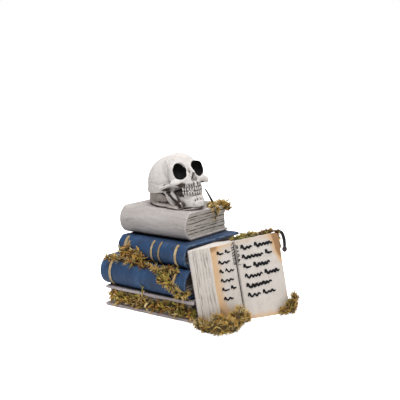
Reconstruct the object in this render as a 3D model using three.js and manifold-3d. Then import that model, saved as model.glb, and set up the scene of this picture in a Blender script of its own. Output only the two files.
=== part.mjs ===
// A tabletop Halloween decoration: a painted cast skull on a stack of four cast books, with an open
// book leaning on the stack, and dried moss and stems glued into the corners.
// Millimetres, +Z up. The spines of the stack run along X and face -Y, and the open book leans on
// the +X ends. The origin is the middle of the footprint, on the surface that the stack stands on.

import * as THREE from "three";
import { mergeVertices } from "three/addons/utils/BufferGeometryUtils.js";
import Module from "manifold-3d";

const wasm = await Module();
wasm.setup();

// Fits that every piece shares
const SEAT = 0.3; // glue gap between two pieces that rest on each other
const OVERRUN = 40; // how far a block or a cut runs past what it trims
const WELD = 1e-4; // corners nearer than this are one corner
const DEGREE = Math.PI / 180;

// The closed books. corner is the spine's end at +X, and turn is about that corner
const BOTTOM_BOOK = {
  length: 156, depth: 128, thickness: 30, board: 4.2, overhang: 5, bulge: 8,
  cornerX: 30, cornerY: -38, turn: 1.7 * DEGREE, layers: 5, spineAtBack: true,
};
const LOWER_BLUE_BOOK = {
  length: 154, depth: 124, thickness: 42, board: 4, overhang: 4, bulge: 15,
  cornerX: 21, cornerY: -31, turn: -0.2 * DEGREE, layers: 7, spineAtBack: false,
};
const UPPER_BLUE_BOOK = {
  length: 124, depth: 117, thickness: 32, board: 3.8, overhang: 4, bulge: 11,
  cornerX: 15, cornerY: -26.5, turn: -2.6 * DEGREE, layers: 6, spineAtBack: false,
};
const GREY_BOOK = {
  length: 119, depth: 95, thickness: 40, board: 3.6, overhang: 3, bulge: 14,
  cornerX: 0, cornerY: -2, turn: 0.4 * DEGREE, layers: 7, spineAtBack: false,
};
const GROOVE = { depth: 0.9, width: 1.1 }; // the lines between the page layers
const SPINE_STEPS = 14;

// Gold bands round the blue spines, placed by shares of the spine's length from its +X end
const BAND = { width: 3.4, rise: 0.9, endTrim: 9 * DEGREE };
const LOWER_BAND_SHARES = [0.12, 0.875];
const UPPER_BAND_SHARES = [0.13, 0.35, 0.47, 0.88];

// The open book, upright before it leans. Its plan has x out of the stack and y along the stack's ends
const OPEN_BOOK = {
  height: 102, cover: 2.8, lean: 11.4 * DEGREE, frontY: -38,
  leftStack: 24, fan: 17, leftPage: 42, gutterRise: 13,
  rightPage: 72, rightTurn: 26.5 * DEGREE, rightStack: 19,
  bundles: 5, pageCrown: 2.2, gutterDip: 2.5, spineWidth: 12, coverMargin: 2, cornerRound: 6,
};
const DIP_START_SHARE = 0.8; // where a page's face begins to dip on its way to the gutter

// The skull, in its own frame: x to its left, -y forward, z up, origin between the ear openings
const SKULL_PLACE = {
  fromTail: 51.5, fromSpine: 39, rise: 34.5,
  yaw: 70 * DEGREE, pitch: 8 * DEGREE, roll: 5 * DEGREE,
};
// The bones of the face and the brain case are bulges that flow into each other
const VAULT = { side: 0, halfWidth: 38, halfLength: 44, halfHeight: 41, forward: -9.5, rise: -1 };
const VAULT_BASE = -10.5; // where the brain case ends in a flat base
const TEMPLES = { from: -20, to: 30 }; // the brain case narrows between these, measured forward
const TEMPLE_PINCH_SHARE = 0.24;
const FOREHEAD = { side: 0, halfWidth: 27, halfLength: 25.5, halfHeight: 28, forward: 9, rise: 14.5 };
const MUZZLE = { side: 0, halfWidth: 18.5, halfLength: 20, halfHeight: 19, forward: 26, rise: -3 };
const NOSE_BRIDGE = { side: 0, halfWidth: 3, halfLength: 5, halfHeight: 7, forward: 35, rise: 15 };
const BROW = { side: 14.5, halfWidth: 12, halfLength: 9, halfHeight: 6, forward: 26, rise: 22 };
const ORBIT_RIM = { side: 24, halfWidth: 4.5, halfLength: 7, halfHeight: 13, forward: 24.5, rise: 13.5 };
const CHEEK = { side: 20, halfWidth: 11.5, halfLength: 7.5, halfHeight: 6.5, forward: 28, rise: 0.5 };
const MASTOID = { side: 26, halfWidth: 5, halfLength: 6, halfHeight: 7, forward: -9, rise: -12 };
const BONE_BLEND = 1.6; // how softly one bulge flows into the next
const SKULL_MIDDLE = { forward: -2, rise: 4 }; // every bulge is seen from here
const CHEEK_ARCH = { side: 31.5, tall: 3.2, wide: 2, back: 7, drop: 5 };
const ORBIT = { side: 15.8, forward: 36, rise: 17.2, halfWidth: 10.6, halfHeight: 11.3, depth: 16 };
const ORBIT_TURN = 5 * DEGREE; // an eye socket opens forward and a little outward
const NOSE = { side: 2, halfWidth: 2.8, halfHeight: 7, depth: 9, forward: 45, rise: 4.5, turn: -12 * DEGREE };
const BITE_DROP = 13.2; // how far the bite lies below the ear openings
const TOOTH = { width: 3.7, depth: 3.6, height: 6.6, spread: 64 * DEGREE };
const DENTAL_ARCH = { forward: 44.5, halfWidth: 17, length: 20 };
const TEETH_PER_JAW = 12;
const CROWN_SHARE = 0.62; // a tooth's half height over its full height, before the row is trimmed
const TOOTH_TURN_SHARE = 0.8; // how much of the dental arch's turn each tooth follows
const RIDGE_SHARE = 1.5; // the depth of the ridge behind the teeth over a tooth's depth
const JAW = {
  forward: 49, halfWidth: 20.5, length: 27, wall: 9, depth: 16.4, squareness: 2.4, round: 1,
  ramus: 4.6, angleSide: 19.5, hingeSide: 24, hingeForward: -2, hingeDrop: 11,
};
// The ramus in profile: shares of the way from the hinge to its front, and of its height
const RAMUS_SHARES = [
  [-0.06, 1], [0.06, 1.09], [0.16, 1], [0.27, 0.8], [0.4, 0.88], [0.56, 1.09], [0.68, 0.92],
  [0.8, 0.38], [1, 0.38], [1, 0.18], [0.84, 0], [0.68, 0.05], [0.36, 0.45],
];
const CHIN = { halfWidth: 9, halfLength: 4.5, halfHeight: 5.5 };
const PLINTH = { halfLength: 34, halfWidth: 27.5, back: 15, height: 24, round: 3 };
const PLINTH_FOOT = { halfLength: 27, halfWidth: 23, forward: 15, height: 5, round: 1.5 };

// Moss and stems
const MOSS_LUMP = 9; // half the width of a full lump of moss
const LUMP_STEPS = 6;
const STEM = { radius: 0.7, bud: 2.1 };

const paint = {
  blue: new THREE.MeshStandardMaterial({ color: 0x2c568f, roughness: 0.55 }),
  grey: new THREE.MeshStandardMaterial({ color: 0x9c9692, roughness: 0.6 }),
  lilac: new THREE.MeshStandardMaterial({ color: 0xa79fa3, roughness: 0.65 }),
  page: new THREE.MeshStandardMaterial({ color: 0xd9d4cb, roughness: 0.8 }),
  parchment: new THREE.MeshStandardMaterial({ color: 0xe2d8c8, roughness: 0.8 }),
  gold: new THREE.MeshStandardMaterial({ color: 0xb08d4c, roughness: 0.4, metalness: 0.6 }),
  bone: new THREE.MeshStandardMaterial({ color: 0xd8d2cc, roughness: 0.7 }),
  tooth: new THREE.MeshStandardMaterial({ color: 0xd6cfc6, roughness: 0.5 }),
  stone: new THREE.MeshStandardMaterial({ color: 0x8d8580, roughness: 0.8 }),
  moss: new THREE.MeshStandardMaterial({ color: 0x8f6f22, roughness: 1 }),
  stem: new THREE.MeshStandardMaterial({ color: 0x2b2635, roughness: 0.6 }),
};

// Solids: a closed three.js geometry becomes a solid, is joined or cut, and comes back as a geometry
function solidOf(geometry) {
  const bare = geometry.clone();
  bare.deleteAttribute("normal");
  bare.deleteAttribute("uv");
  const merged = mergeVertices(bare, WELD);
  return new wasm.Manifold(new wasm.Mesh({
    numProp: 3,
    vertProperties: merged.attributes.position.array,
    triVerts: new Uint32Array(merged.index.array),
  }));
}

function geometryOf(solid) {
  const { vertProperties, triVerts } = solid.getMesh();
  const geometry = new THREE.BufferGeometry();
  geometry.setAttribute("position", new THREE.BufferAttribute(new Float32Array(vertProperties), 3));
  geometry.setIndex(new THREE.BufferAttribute(new Uint32Array(triVerts), 1));
  geometry.computeVertexNormals();
  return geometry;
}

function join(...geometries) {
  return geometryOf(geometries.map(solidOf).reduce((whole, next) => whole.add(next)));
}

function cut(geometry, ...cutters) {
  return geometryOf(cutters.map(solidOf).reduce((whole, next) => whole.subtract(next), solidOf(geometry)));
}

function keep(geometry, zone) {
  return geometryOf(solidOf(geometry).intersect(solidOf(zone)));
}

function point(x, y) {
  return new THREE.Vector2(x, y);
}

function block(x0, x1, y0, y1, z0, z1) {
  return new THREE.BoxGeometry(x1 - x0, y1 - y0, z1 - z0)
    .translate((x0 + x1) / 2, (y0 + y1) / 2, (z0 + z1) / 2);
}

function ellipsoid(rx, ry, rz, steps = 16) {
  return new THREE.SphereGeometry(1, steps, Math.round(steps * 0.7)).rotateX(Math.PI / 2).scale(rx, ry, rz);
}

// An outline drawn in (y, z) and pulled along x from x0 to x1
function pullAlongX(outline, x0, x1) {
  const slab = { depth: x1 - x0, bevelEnabled: false };
  const geometry = new THREE.ExtrudeGeometry(new THREE.Shape(outline), slab);
  const yAxis = new THREE.Vector3(0, 1, 0);
  const zAxis = new THREE.Vector3(0, 0, 1);
  const xAxis = new THREE.Vector3(1, 0, 0);
  return geometry.applyMatrix4(new THREE.Matrix4().makeBasis(yAxis, zAxis, xAxis)).translate(x0, 0, 0);
}

// An outline drawn in (x, y) and pulled up from z0 to z1, with its edges rounded by a bevel
function pullUp(outline, z0, z1, round = 0) {
  const geometry = new THREE.ExtrudeGeometry(new THREE.Shape(outline), {
    depth: z1 - z0 - 2 * round, bevelEnabled: round > 0, bevelThickness: round, bevelSize: round,
    bevelOffset: -round, bevelSegments: 1,
  });
  return geometry.translate(0, 0, z0 + round);
}

// A tube with six sides along a smooth path
function tube(spots, radius) {
  const ring = Array.from({ length: 6 }, (_, i) =>
    point(radius * Math.cos((i * Math.PI) / 3), radius * Math.sin((i * Math.PI) / 3)));
  return new THREE.ExtrudeGeometry(new THREE.Shape(ring), {
    extrudePath: new THREE.CatmullRomCurve3(spots), steps: spots.length * 4, bevelEnabled: false,
  });
}

function mirrored(make) {
  return [make(1), make(-1)];
}

// The closed books
function spineCircle(book) {
  const half = book.thickness / 2;
  const radius = (book.bulge ** 2 + half ** 2) / (2 * book.bulge);
  return { radius, centreY: radius - book.bulge, centreZ: half };
}

// The arc of a spine, this far inside its outer face, from an angle above its middle to one below
function spineArc(book, inset, reach) {
  const { radius, centreY, centreZ } = spineCircle(book);
  const r = radius - inset;
  return Array.from({ length: SPINE_STEPS + 1 }, (_, i) => {
    const angle = Math.PI - reach + (2 * reach * i) / SPINE_STEPS;
    return point(centreY + r * Math.cos(angle), centreZ + r * Math.sin(angle));
  });
}

function arcReach(book, inset, halfHeight) {
  return Math.asin(Math.min(1, halfHeight / (spineCircle(book).radius - inset)));
}

function spineFace(book, inset, halfHeight) {
  return spineArc(book, inset, arcReach(book, inset, halfHeight));
}

// Turns a piece about its book's corner and sets it at its book's height in the pile
function placed(book, geometry, z) {
  if (book.spineAtBack) geometry.rotateZ(Math.PI).translate(-book.length, book.depth, 0);
  return geometry.rotateZ(book.turn).translate(book.cornerX, book.cornerY, z);
}

// The case: two boards and a rounded spine in one piece
function caseGeometry(book) {
  const half = book.thickness / 2;
  const outline = [
    point(book.depth, book.thickness),
    ...spineFace(book, 0, half),
    point(book.depth, 0),
    point(book.depth, book.board),
    ...spineFace(book, book.board, half - book.board).reverse(),
    point(book.depth, book.thickness - book.board),
  ];
  return pullAlongX(outline, -book.length, 0);
}

// The page block: thick layers with grooves between them on the three open sides
function pagesGeometry(book) {
  const half = book.thickness / 2 - book.board - SEAT;
  const low = book.thickness / 2 - half;
  const whole = (inset) => {
    const foreEdge = book.depth - book.overhang - inset;
    const outline = [
      ...spineFace(book, book.board + SEAT, half),
      point(foreEdge, low),
      point(foreEdge, low + 2 * half),
    ];
    return pullAlongX(outline, -book.length + book.overhang + inset, -book.overhang - inset);
  };
  const pitch = (2 * half + GROOVE.width) / book.layers;
  const full = whole(0);
  const layers = Array.from({ length: book.layers }, (_, i) => keep(full,
    block(-book.length, 0, -book.bulge, book.depth, low + i * pitch, low + (i + 1) * pitch - GROOVE.width)));
  return join(whole(GROOVE.depth), ...layers);
}

function bandGeometry(book, share, grow = 0) {
  const reach = arcReach(book, 0, book.thickness / 2) - BAND.endTrim + grow / book.thickness;
  const outline = [
    ...spineArc(book, -SEAT - BAND.rise - grow, reach),
    ...spineArc(book, grow - SEAT, reach).reverse(),
  ];
  const x = -book.length * share;
  return pullAlongX(outline, x - BAND.width / 2 - grow, x + BAND.width / 2 + grow);
}

// A book grown by the glue gap, which cuts what is glued against it
function bookClearance({ book, z, bands }) {
  const tail = book.overhang - SEAT;
  const spine = pullAlongX([
    point(book.board + SEAT, book.thickness),
    ...spineFace(book, -SEAT, book.thickness / 2),
    point(book.board + SEAT, 0),
  ], -book.length - SEAT, SEAT);
  const boards = [0, book.thickness - book.board].map((low) =>
    block(-book.length - SEAT, SEAT, 0, book.depth + SEAT, low - SEAT, low + book.board + SEAT));
  const pages = block(-book.length + tail, -tail, 0, book.depth - tail, 0, book.thickness);
  const rings = bands.map((share) => bandGeometry(book, share, SEAT));
  return placed(book, join(spine, ...boards, pages, ...rings), z);
}

const pile = [];
let pileTop = 0;
for (const [name, book, cover, bands] of [
  ["bottom_book", BOTTOM_BOOK, paint.lilac, []],
  ["lower_blue_book", LOWER_BLUE_BOOK, paint.blue, LOWER_BAND_SHARES],
  ["upper_blue_book", UPPER_BLUE_BOOK, paint.blue, UPPER_BAND_SHARES],
  ["grey_book", GREY_BOOK, paint.grey, []],
]) {
  pile.push({ name, book, cover, bands, z: pileTop });
  pileTop += book.thickness + SEAT;
}
const [bottomBook, lowerBlueBook, upperBlueBook, greyBook] = pile;

// The open book's plan
const leftBack = point(OPEN_BOOK.cover + SEAT, 0);
const leftFront = point(leftBack.x + OPEN_BOOK.leftStack, OPEN_BOOK.fan);
const gutter = point(leftFront.x + OPEN_BOOK.gutterRise, leftFront.y + OPEN_BOOK.leftPage);
const leftOut = point(OPEN_BOOK.leftPage, -OPEN_BOOK.gutterRise).normalize();
const rightAlong = point(Math.sin(OPEN_BOOK.rightTurn), Math.cos(OPEN_BOOK.rightTurn));
const rightOut = point(rightAlong.y, -rightAlong.x);

function rightPlan(along, out) {
  return gutter.clone().addScaledVector(rightAlong, along).addScaledVector(rightOut, out);
}

// A page's face from one end to the other: it crowns in the middle and dips into the gutter
function pageFace(from, to, out, nearGutter) {
  const steps = 12;
  return Array.from({ length: steps + 1 }, (_, i) => {
    const share = i / steps;
    const crown = OPEN_BOOK.pageCrown * Math.sin(Math.PI * share);
    const dip = OPEN_BOOK.gutterDip * THREE.MathUtils.smoothstep(nearGutter(share), DIP_START_SHARE, 1);
    return from.clone().lerp(to, share).addScaledVector(out, crown - dip);
  });
}

// The left half fans out from its back edge in bundles of pages, with a groove between each two
function fan(groove) {
  return Array.from({ length: OPEN_BOOK.bundles }, (_, i) => {
    const start = leftBack.clone().lerp(leftFront, i / OPEN_BOOK.bundles);
    const stop = leftBack.clone().lerp(leftFront, (i + 1) / OPEN_BOOK.bundles);
    const lip = stop.x - groove.width;
    return [start, point(lip, start.y), point(lip, stop.y + groove.depth)];
  }).flat();
}

function leftPagesOutline() {
  const inner = point(gutter.x, gutter.y - SEAT / 2);
  const face = pageFace(leftFront, inner, leftOut, (share) => share);
  return [...fan(GROOVE), ...face, point(leftBack.x, inner.y)];
}

function rightPagesOutline() {
  const inner = point(gutter.x, gutter.y + SEAT / 2);
  return [
    ...pageFace(inner, rightPlan(OPEN_BOOK.rightPage, 0), rightOut, (share) => 1 - share),
    rightPlan(OPEN_BOOK.rightPage, -OPEN_BOOK.rightStack),
    rightPlan(0, -OPEN_BOOK.rightStack),
    point(leftBack.x, inner.y),
  ];
}

function openCoverOutline() {
  const inside = -OPEN_BOOK.rightStack - SEAT;
  const outside = inside - OPEN_BOOK.cover;
  return [
    point(OPEN_BOOK.cover, OPEN_BOOK.coverMargin),
    point(OPEN_BOOK.cover, gutter.y + SEAT),
    rightPlan(0, inside),
    rightPlan(OPEN_BOOK.rightPage, inside),
    rightPlan(OPEN_BOOK.rightPage, outside),
    rightPlan(OPEN_BOOK.spineWidth / 2, outside),
    point(0, gutter.y + OPEN_BOOK.spineWidth / 2),
    point(0, OPEN_BOOK.coverMargin),
  ];
}

// How far out the open book's foot stands, so that its leaning back just clears every closed book
const openFootX = Math.max(...pile.map(({ book, z }) => {
  const touchZ = Math.min(z + book.thickness, OPEN_BOOK.height * Math.cos(OPEN_BOOK.lean));
  const nearY = OPEN_BOOK.frontY;
  const farY = OPEN_BOOK.frontY + gutter.y + OPEN_BOOK.spineWidth;
  const tailAt = (y) => book.cornerX - (y - book.cornerY) * Math.tan(book.turn);
  return Math.max(tailAt(nearY), tailAt(farY)) + touchZ * Math.tan(OPEN_BOOK.lean);
})) + SEAT;

// Leans a piece back over its foot and sets it against the stack
function leaned(thing) {
  return thing.applyMatrix4(new THREE.Matrix4()
    .makeTranslation(openFootX, OPEN_BOOK.frontY, 0)
    .multiply(new THREE.Matrix4().makeRotationY(-OPEN_BOOK.lean)));
}

const aboveTable = block(-OVERRUN * 9, OVERRUN * 9, -OVERRUN * 9, OVERRUN * 9, 0, OVERRUN * 9);

function openPiece(outline) {
  return keep(leaned(pullUp(outline, -OVERRUN, OPEN_BOOK.height)), aboveTable);
}

// What rounds off the right page's far top corner
function pageCornerCutter() {
  const r = OPEN_BOOK.cornerRound;
  const arc = Array.from({ length: 7 }, (_, i) => {
    const angle = (i / 6) * (Math.PI / 2);
    return point(r * Math.cos(angle) - r, r * Math.sin(angle) - r);
  });
  const outline = [...arc, point(-r, OVERRUN), point(OVERRUN, OVERRUN), point(OVERRUN, -r)];
  const slab = { depth: OVERRUN * 2, bevelEnabled: false };
  const corner = new THREE.ExtrudeGeometry(new THREE.Shape(outline), slab);
  const along = new THREE.Vector3(rightAlong.x, rightAlong.y, 0);
  const up = new THREE.Vector3(0, 0, 1);
  const start = rightPlan(OPEN_BOOK.rightPage, -OVERRUN);
  return leaned(corner.applyMatrix4(new THREE.Matrix4().makeBasis(along, up, along.clone().cross(up)))
    .translate(start.x, start.y, OPEN_BOOK.height));
}

// The whole open book grown by the glue gap, as shifted copies of its outline
function openClearance() {
  const outline = [
    point(0, OPEN_BOOK.coverMargin), ...fan({ width: 0, depth: 0 }),
    ...pageFace(leftFront, gutter, leftOut, () => 0),
    ...pageFace(gutter, rightPlan(OPEN_BOOK.rightPage, 0), rightOut, () => 0),
    rightPlan(OPEN_BOOK.rightPage, -OPEN_BOOK.rightStack - SEAT - OPEN_BOOK.cover),
    rightPlan(OPEN_BOOK.spineWidth / 2, -OPEN_BOOK.rightStack - SEAT - OPEN_BOOK.cover),
    point(0, gutter.y + OPEN_BOOK.spineWidth / 2),
  ];
  const gap = SEAT * Math.SQRT2;
  const shifted = [[gap, 0], [-gap, 0], [0, gap], [0, -gap]].map(([dx, dy]) =>
    pullUp(outline, -OVERRUN, OPEN_BOOK.height + SEAT).translate(dx, dy, 0));
  return leaned(join(...shifted));
}

// The skull
const greyTop = greyBook.z + GREY_BOOK.thickness;
const skullMatrix = new THREE.Matrix4().compose(
  new THREE.Vector3(
    GREY_BOOK.cornerX - SKULL_PLACE.fromTail,
    GREY_BOOK.cornerY + SKULL_PLACE.fromSpine,
    greyTop + SKULL_PLACE.rise,
  ),
  new THREE.Quaternion().setFromEuler(
    new THREE.Euler(-SKULL_PLACE.pitch, -SKULL_PLACE.roll, SKULL_PLACE.yaw, "ZXY")),
  new THREE.Vector3(1, 1, 1),
);

// How far a spot lies inside a bulge, or outside it where that is negative
function depthIn(bone, spot) {
  const narrowing = THREE.MathUtils.smoothstep(-spot.y, TEMPLES.from, TEMPLES.to);
  const pinch = bone === VAULT ? TEMPLE_PINCH_SHARE * narrowing : 0;
  const shares = new THREE.Vector3(
    (spot.x - bone.side) / (bone.halfWidth * (1 - pinch)),
    (spot.y + bone.forward) / bone.halfLength,
    (spot.z - bone.rise) / bone.halfHeight,
  );
  return (1 - shares.length()) * Math.min(bone.halfWidth, bone.halfLength, bone.halfHeight);
}

// The skin over all the bulges: each point of a ball moves along its ray to the outermost surface
function boneSkin(grow) {
  const pairs = [BROW, ORBIT_RIM, CHEEK, MASTOID].flatMap((bone) => [bone, { ...bone, side: -bone.side }]);
  const bones = [VAULT, FOREHEAD, MUZZLE, NOSE_BRIDGE, ...pairs];
  const depth = (spot) => Math.min(spot.z - VAULT_BASE,
    BONE_BLEND * Math.log(bones.reduce((sum, bone) => sum + Math.exp(depthIn(bone, spot) / BONE_BLEND), 0)));
  const middle = new THREE.Vector3(0, -SKULL_MIDDLE.forward, SKULL_MIDDLE.rise);
  const geometry = new THREE.SphereGeometry(1, 38, 28).rotateX(Math.PI / 2);
  const skin = geometry.attributes.position;
  const step = BONE_BLEND / 2;
  for (let i = 0; i < skin.count; i += 1) {
    const ray = new THREE.Vector3().fromBufferAttribute(skin, i).normalize();
    const spotAt = (reach) => ray.clone().multiplyScalar(reach).add(middle);
    let reach = VAULT.halfLength * 1.5;
    while (depth(spotAt(reach)) < -grow) reach -= step;
    const gain = (depth(spotAt(reach)) + grow) / (depth(spotAt(reach)) - depth(spotAt(reach + step)));
    const { x, y, z } = spotAt(reach + step * gain);
    skin.setXYZ(i, x, y, z);
  }
  return geometry;
}

function cheekArch(side, grow) {
  const path = new THREE.CatmullRomCurve3([
    new THREE.Vector3(side * ORBIT_RIM.side, -CHEEK.forward, CHEEK.rise),
    new THREE.Vector3(side * CHEEK_ARCH.side, -CHEEK.forward / 2, CHEEK.rise - CHEEK_ARCH.drop / 3),
    new THREE.Vector3(side * CHEEK_ARCH.side, 0, CHEEK.rise - CHEEK_ARCH.drop),
    new THREE.Vector3(side * ORBIT_RIM.side, CHEEK_ARCH.back, CHEEK.rise - CHEEK_ARCH.drop),
  ]);
  const ring = Array.from({ length: 8 }, (_, i) => point(
    Math.cos((i * Math.PI) / 4) * (CHEEK_ARCH.tall + grow),
    Math.sin((i * Math.PI) / 4) * (CHEEK_ARCH.wide + grow),
  ));
  const bar = { extrudePath: path, steps: 8, bevelEnabled: false };
  return new THREE.ExtrudeGeometry(new THREE.Shape(ring), bar);
}

function craniumGeometry(grow) {
  const solid = join(boneSkin(grow), ...mirrored((hand) => cheekArch(hand, grow)));
  const palate = TOOTH.height - BITE_DROP - grow;
  const underTeeth = block(-OVERRUN, OVERRUN, -OVERRUN * 2, -MUZZLE.forward / 2, -OVERRUN, palate);
  const orbits = mirrored((hand) =>
    ellipsoid(ORBIT.halfWidth - grow, ORBIT.depth - grow, ORBIT.halfHeight - grow, 14)
      .rotateZ(hand * ORBIT_TURN).translate(hand * ORBIT.side, -ORBIT.forward, ORBIT.rise));
  const nostrils = mirrored((hand) =>
    ellipsoid(NOSE.halfWidth - grow, NOSE.depth - grow, NOSE.halfHeight - grow, 10)
      .rotateY(hand * NOSE.turn).translate(hand * NOSE.side, -NOSE.forward, NOSE.rise));
  return cut(solid, underTeeth, ...orbits, ...nostrils);
}

// A row of teeth on its ridge: side is 1 above the bite and -1 below it
function teethGeometry(side) {
  const archPoint = (angle, inset) => point(
    (DENTAL_ARCH.halfWidth - inset) * Math.sin(angle),
    -DENTAL_ARCH.forward + inset + DENTAL_ARCH.length * (1 - Math.cos(angle)),
  );
  const angles = Array.from({ length: TEETH_PER_JAW }, (_, i) =>
    TOOTH.spread * ((2 * i) / (TEETH_PER_JAW - 1) - 1));
  const ends = [side * SEAT / 2, side * (TOOTH.height - SEAT)].sort((a, b) => a - b);
  const [low, high] = ends.map((z) => z - BITE_DROP);
  const teeth = angles.map((angle) => {
    const centre = archPoint(angle, 0);
    return ellipsoid(TOOTH.width / 2, TOOTH.depth / 2, TOOTH.height * CROWN_SHARE, 6)
      .rotateZ(angle * TOOTH_TURN_SHARE).translate(centre.x, centre.y, (low + high) / 2);
  });
  const ridge = pullUp([
    ...angles.map((angle) => archPoint(angle, 0)),
    ...angles.map((angle) => archPoint(angle, TOOTH.depth * RIDGE_SHARE)).reverse(),
  ], low, high);
  return keep(join(ridge, ...teeth), block(-OVERRUN, OVERRUN, -OVERRUN * 2, OVERRUN, low, high));
}

// The lower jaw: a horseshoe body with a chin, and a slanting plate up to each hinge
const jawTop = -BITE_DROP - TOOTH.height;
const jawBottom = jawTop - JAW.depth;

function jawCurve(inset) {
  const steps = 12;
  return Array.from({ length: steps + 1 }, (_, i) => {
    const across = (2 * i) / steps - 1;
    return point(across * (JAW.halfWidth - inset),
      -(JAW.forward - inset) + JAW.length * Math.abs(across) ** JAW.squareness);
  });
}

function ramusGeometry(side, grow) {
  const half = JAW.ramus / 2 + grow;
  const back = -JAW.hingeForward;
  const foot = jawBottom;
  const reach = JAW.length / 2 - JAW.forward - back;
  const rise = -JAW.hingeDrop - foot;
  const outline = RAMUS_SHARES.map(([along, up]) => point(back + reach * along, foot + rise * up));
  const lean = Math.atan2(JAW.hingeSide - JAW.angleSide, rise);
  const shifts = grow ? [[grow, 0], [-grow, 0], [0, grow], [0, -grow]] : [[0, 0]];
  const plates = shifts.map(([dy, dz]) => pullAlongX(outline, -half, half).translate(0, dy, dz));
  return join(...plates).translate(0, 0, -foot).rotateY(side * lean).translate(side * JAW.angleSide, 0, foot);
}

function jawGeometry(grow) {
  const outline = [...jawCurve(-grow), ...jawCurve(JAW.wall + grow).reverse()];
  return join(
    pullUp(outline, jawBottom - grow, jawTop + grow, JAW.round),
    ellipsoid(CHIN.halfWidth + grow, CHIN.halfLength + grow, CHIN.halfHeight + grow, 12)
      .translate(0, -JAW.forward + CHIN.halfLength / 2, jawBottom + CHIN.halfHeight),
    ...mirrored((side) => ramusGeometry(side, grow)),
  );
}

const craniumClear = craniumGeometry(SEAT);

function mandibleGeometry() {
  const book = block(-OVERRUN * 5, OVERRUN * 5, -OVERRUN * 5, OVERRUN * 5, 0, greyTop + SEAT)
    .applyMatrix4(skullMatrix.clone().invert());
  return cut(jawGeometry(0), craniumClear, book);
}

// The support under the skull, shaped to the brain case above it and to the jaw round it
function plinthGeometry() {
  const oval = ({ halfWidth, halfLength }, middle) => Array.from({ length: 24 }, (_, i) => {
    const angle = (i / 24) * 2 * Math.PI;
    return point(halfWidth * Math.cos(angle), middle + halfLength * Math.sin(angle));
  });
  const neck = pullUp(oval(PLINTH, PLINTH.back), 0, PLINTH.height, PLINTH.round);
  const foot = pullUp(oval(PLINTH_FOOT, -PLINTH_FOOT.forward), 0, PLINTH_FOOT.height, PLINTH_FOOT.round);
  const place = new THREE.Vector3().setFromMatrixPosition(skullMatrix);
  const whole = join(neck, foot).rotateZ(SKULL_PLACE.yaw).translate(place.x, place.y, greyTop + SEAT);
  const above = [craniumClear.clone(), jawGeometry(SEAT)].map((solid) => solid.applyMatrix4(skullMatrix));
  return cut(whole, ...above);
}

// Moss and stems. A carrier turns shares of its own sizes into a place on its surface
function onBook({ book, z }, x, y, up) {
  return new THREE.Vector3(x, y, up)
    .applyAxisAngle(new THREE.Vector3(0, 0, 1), book.turn)
    .add(new THREE.Vector3(book.cornerX, book.cornerY, z));
}

function onSpine(entry, along, up) {
  const { radius, centreY, centreZ } = spineCircle(entry.book);
  const height = entry.book.thickness * up;
  const bow = Math.sqrt(Math.max(0, radius ** 2 - (height - centreZ) ** 2));
  return onBook(entry, -entry.book.length * along, centreY - bow, height);
}

function onForeEdge(entry, along, up) {
  return onBook(entry, -entry.book.length * along, entry.book.overhang / 2, entry.book.thickness * up);
}

function onBoard(entry, along, deep, up) {
  const { book } = entry;
  return onBook(entry, -book.length * along, book.depth * deep, book.thickness * up);
}

// Along the right page from the gutter, back from its face, and up the page
function onRightPage(along, back, up) {
  const plan = rightPlan(OPEN_BOOK.rightPage * along, -OPEN_BOOK.rightStack * back);
  return leaned(new THREE.Vector3(plan.x, plan.y, OPEN_BOOK.height * up));
}

// On the table round the open book's foot, in shares of the left page's width
function onTable(out, along, up) {
  return new THREE.Vector3(openFootX, OPEN_BOOK.frontY, 0)
    .addScaledVector(new THREE.Vector3(out, along, up), OPEN_BOOK.leftPage);
}

// Each row holds a lump's place on its carrier, and then its length, depth and height as lump shares
const SPINE_MOSS_SHARES = [
  [0.92, 0.28, 0.9, 0.6, 0.9], [0.84, 0.48, 1, 0.65, 1], [0.77, 0.36, 1.1, 0.75, 1.2],
  [0.68, 0.42, 1, 0.65, 1], [0.62, 0.22, 0.8, 0.6, 0.8],
];
const SHOULDER_MOSS_SHARES = [
  [0.93, 0.95, 0.8, 0.5, 0.45], [0.85, 0.96, 0.9, 0.6, 0.6], [0.77, 0.95, 0.9, 0.6, 0.7],
  [0.69, 0.94, 0.9, 0.55, 0.6], [0.61, 0.92, 0.9, 0.55, 0.6], [0.53, 0.9, 0.9, 0.5, 0.5],
  [0.45, 0.9, 0.8, 0.45, 0.5],
];
const LOWER_SPINE_MOSS_SHARES = [
  [0.35, 0.86, 0.8, 0.5, 0.6], [0.28, 0.84, 1, 0.7, 0.8], [0.21, 0.86, 1, 0.75, 0.8],
  [0.14, 0.84, 0.9, 0.6, 0.8], [0.26, 0.62, 0.8, 0.55, 0.8], [0.19, 0.6, 0.9, 0.65, 0.9],
  [0.13, 0.44, 0.8, 0.55, 0.8], [0.07, 0.3, 0.9, 0.55, 0.7], [0.01, 0.26, 0.8, 0.5, 0.7],
];
const BASE_MOSS_SHARES = [
  [0.95, 0.52, 0.8, 0.5, 0.9], [0.88, 0.45, 0.8, 0.6, 1.1], [0.81, 0.5, 0.8, 0.55, 1],
  [0.74, 0.42, 0.8, 0.5, 0.9], [0.67, 0.5, 0.8, 0.6, 1.1], [0.6, 0.5, 0.8, 0.6, 1.2],
  [0.53, 0.45, 0.8, 0.55, 1], [0.46, 0.4, 0.8, 0.5, 1], [0.39, 0.48, 0.8, 0.6, 1.1],
  [0.32, 0.55, 0.8, 0.55, 1], [0.25, 0.5, 0.8, 0.65, 1.2], [0.18, 0.5, 0.8, 0.65, 1.2],
  [0.11, 0.45, 0.8, 0.6, 1.2], [0.04, 0.4, 0.8, 0.6, 1.2],
];
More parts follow.
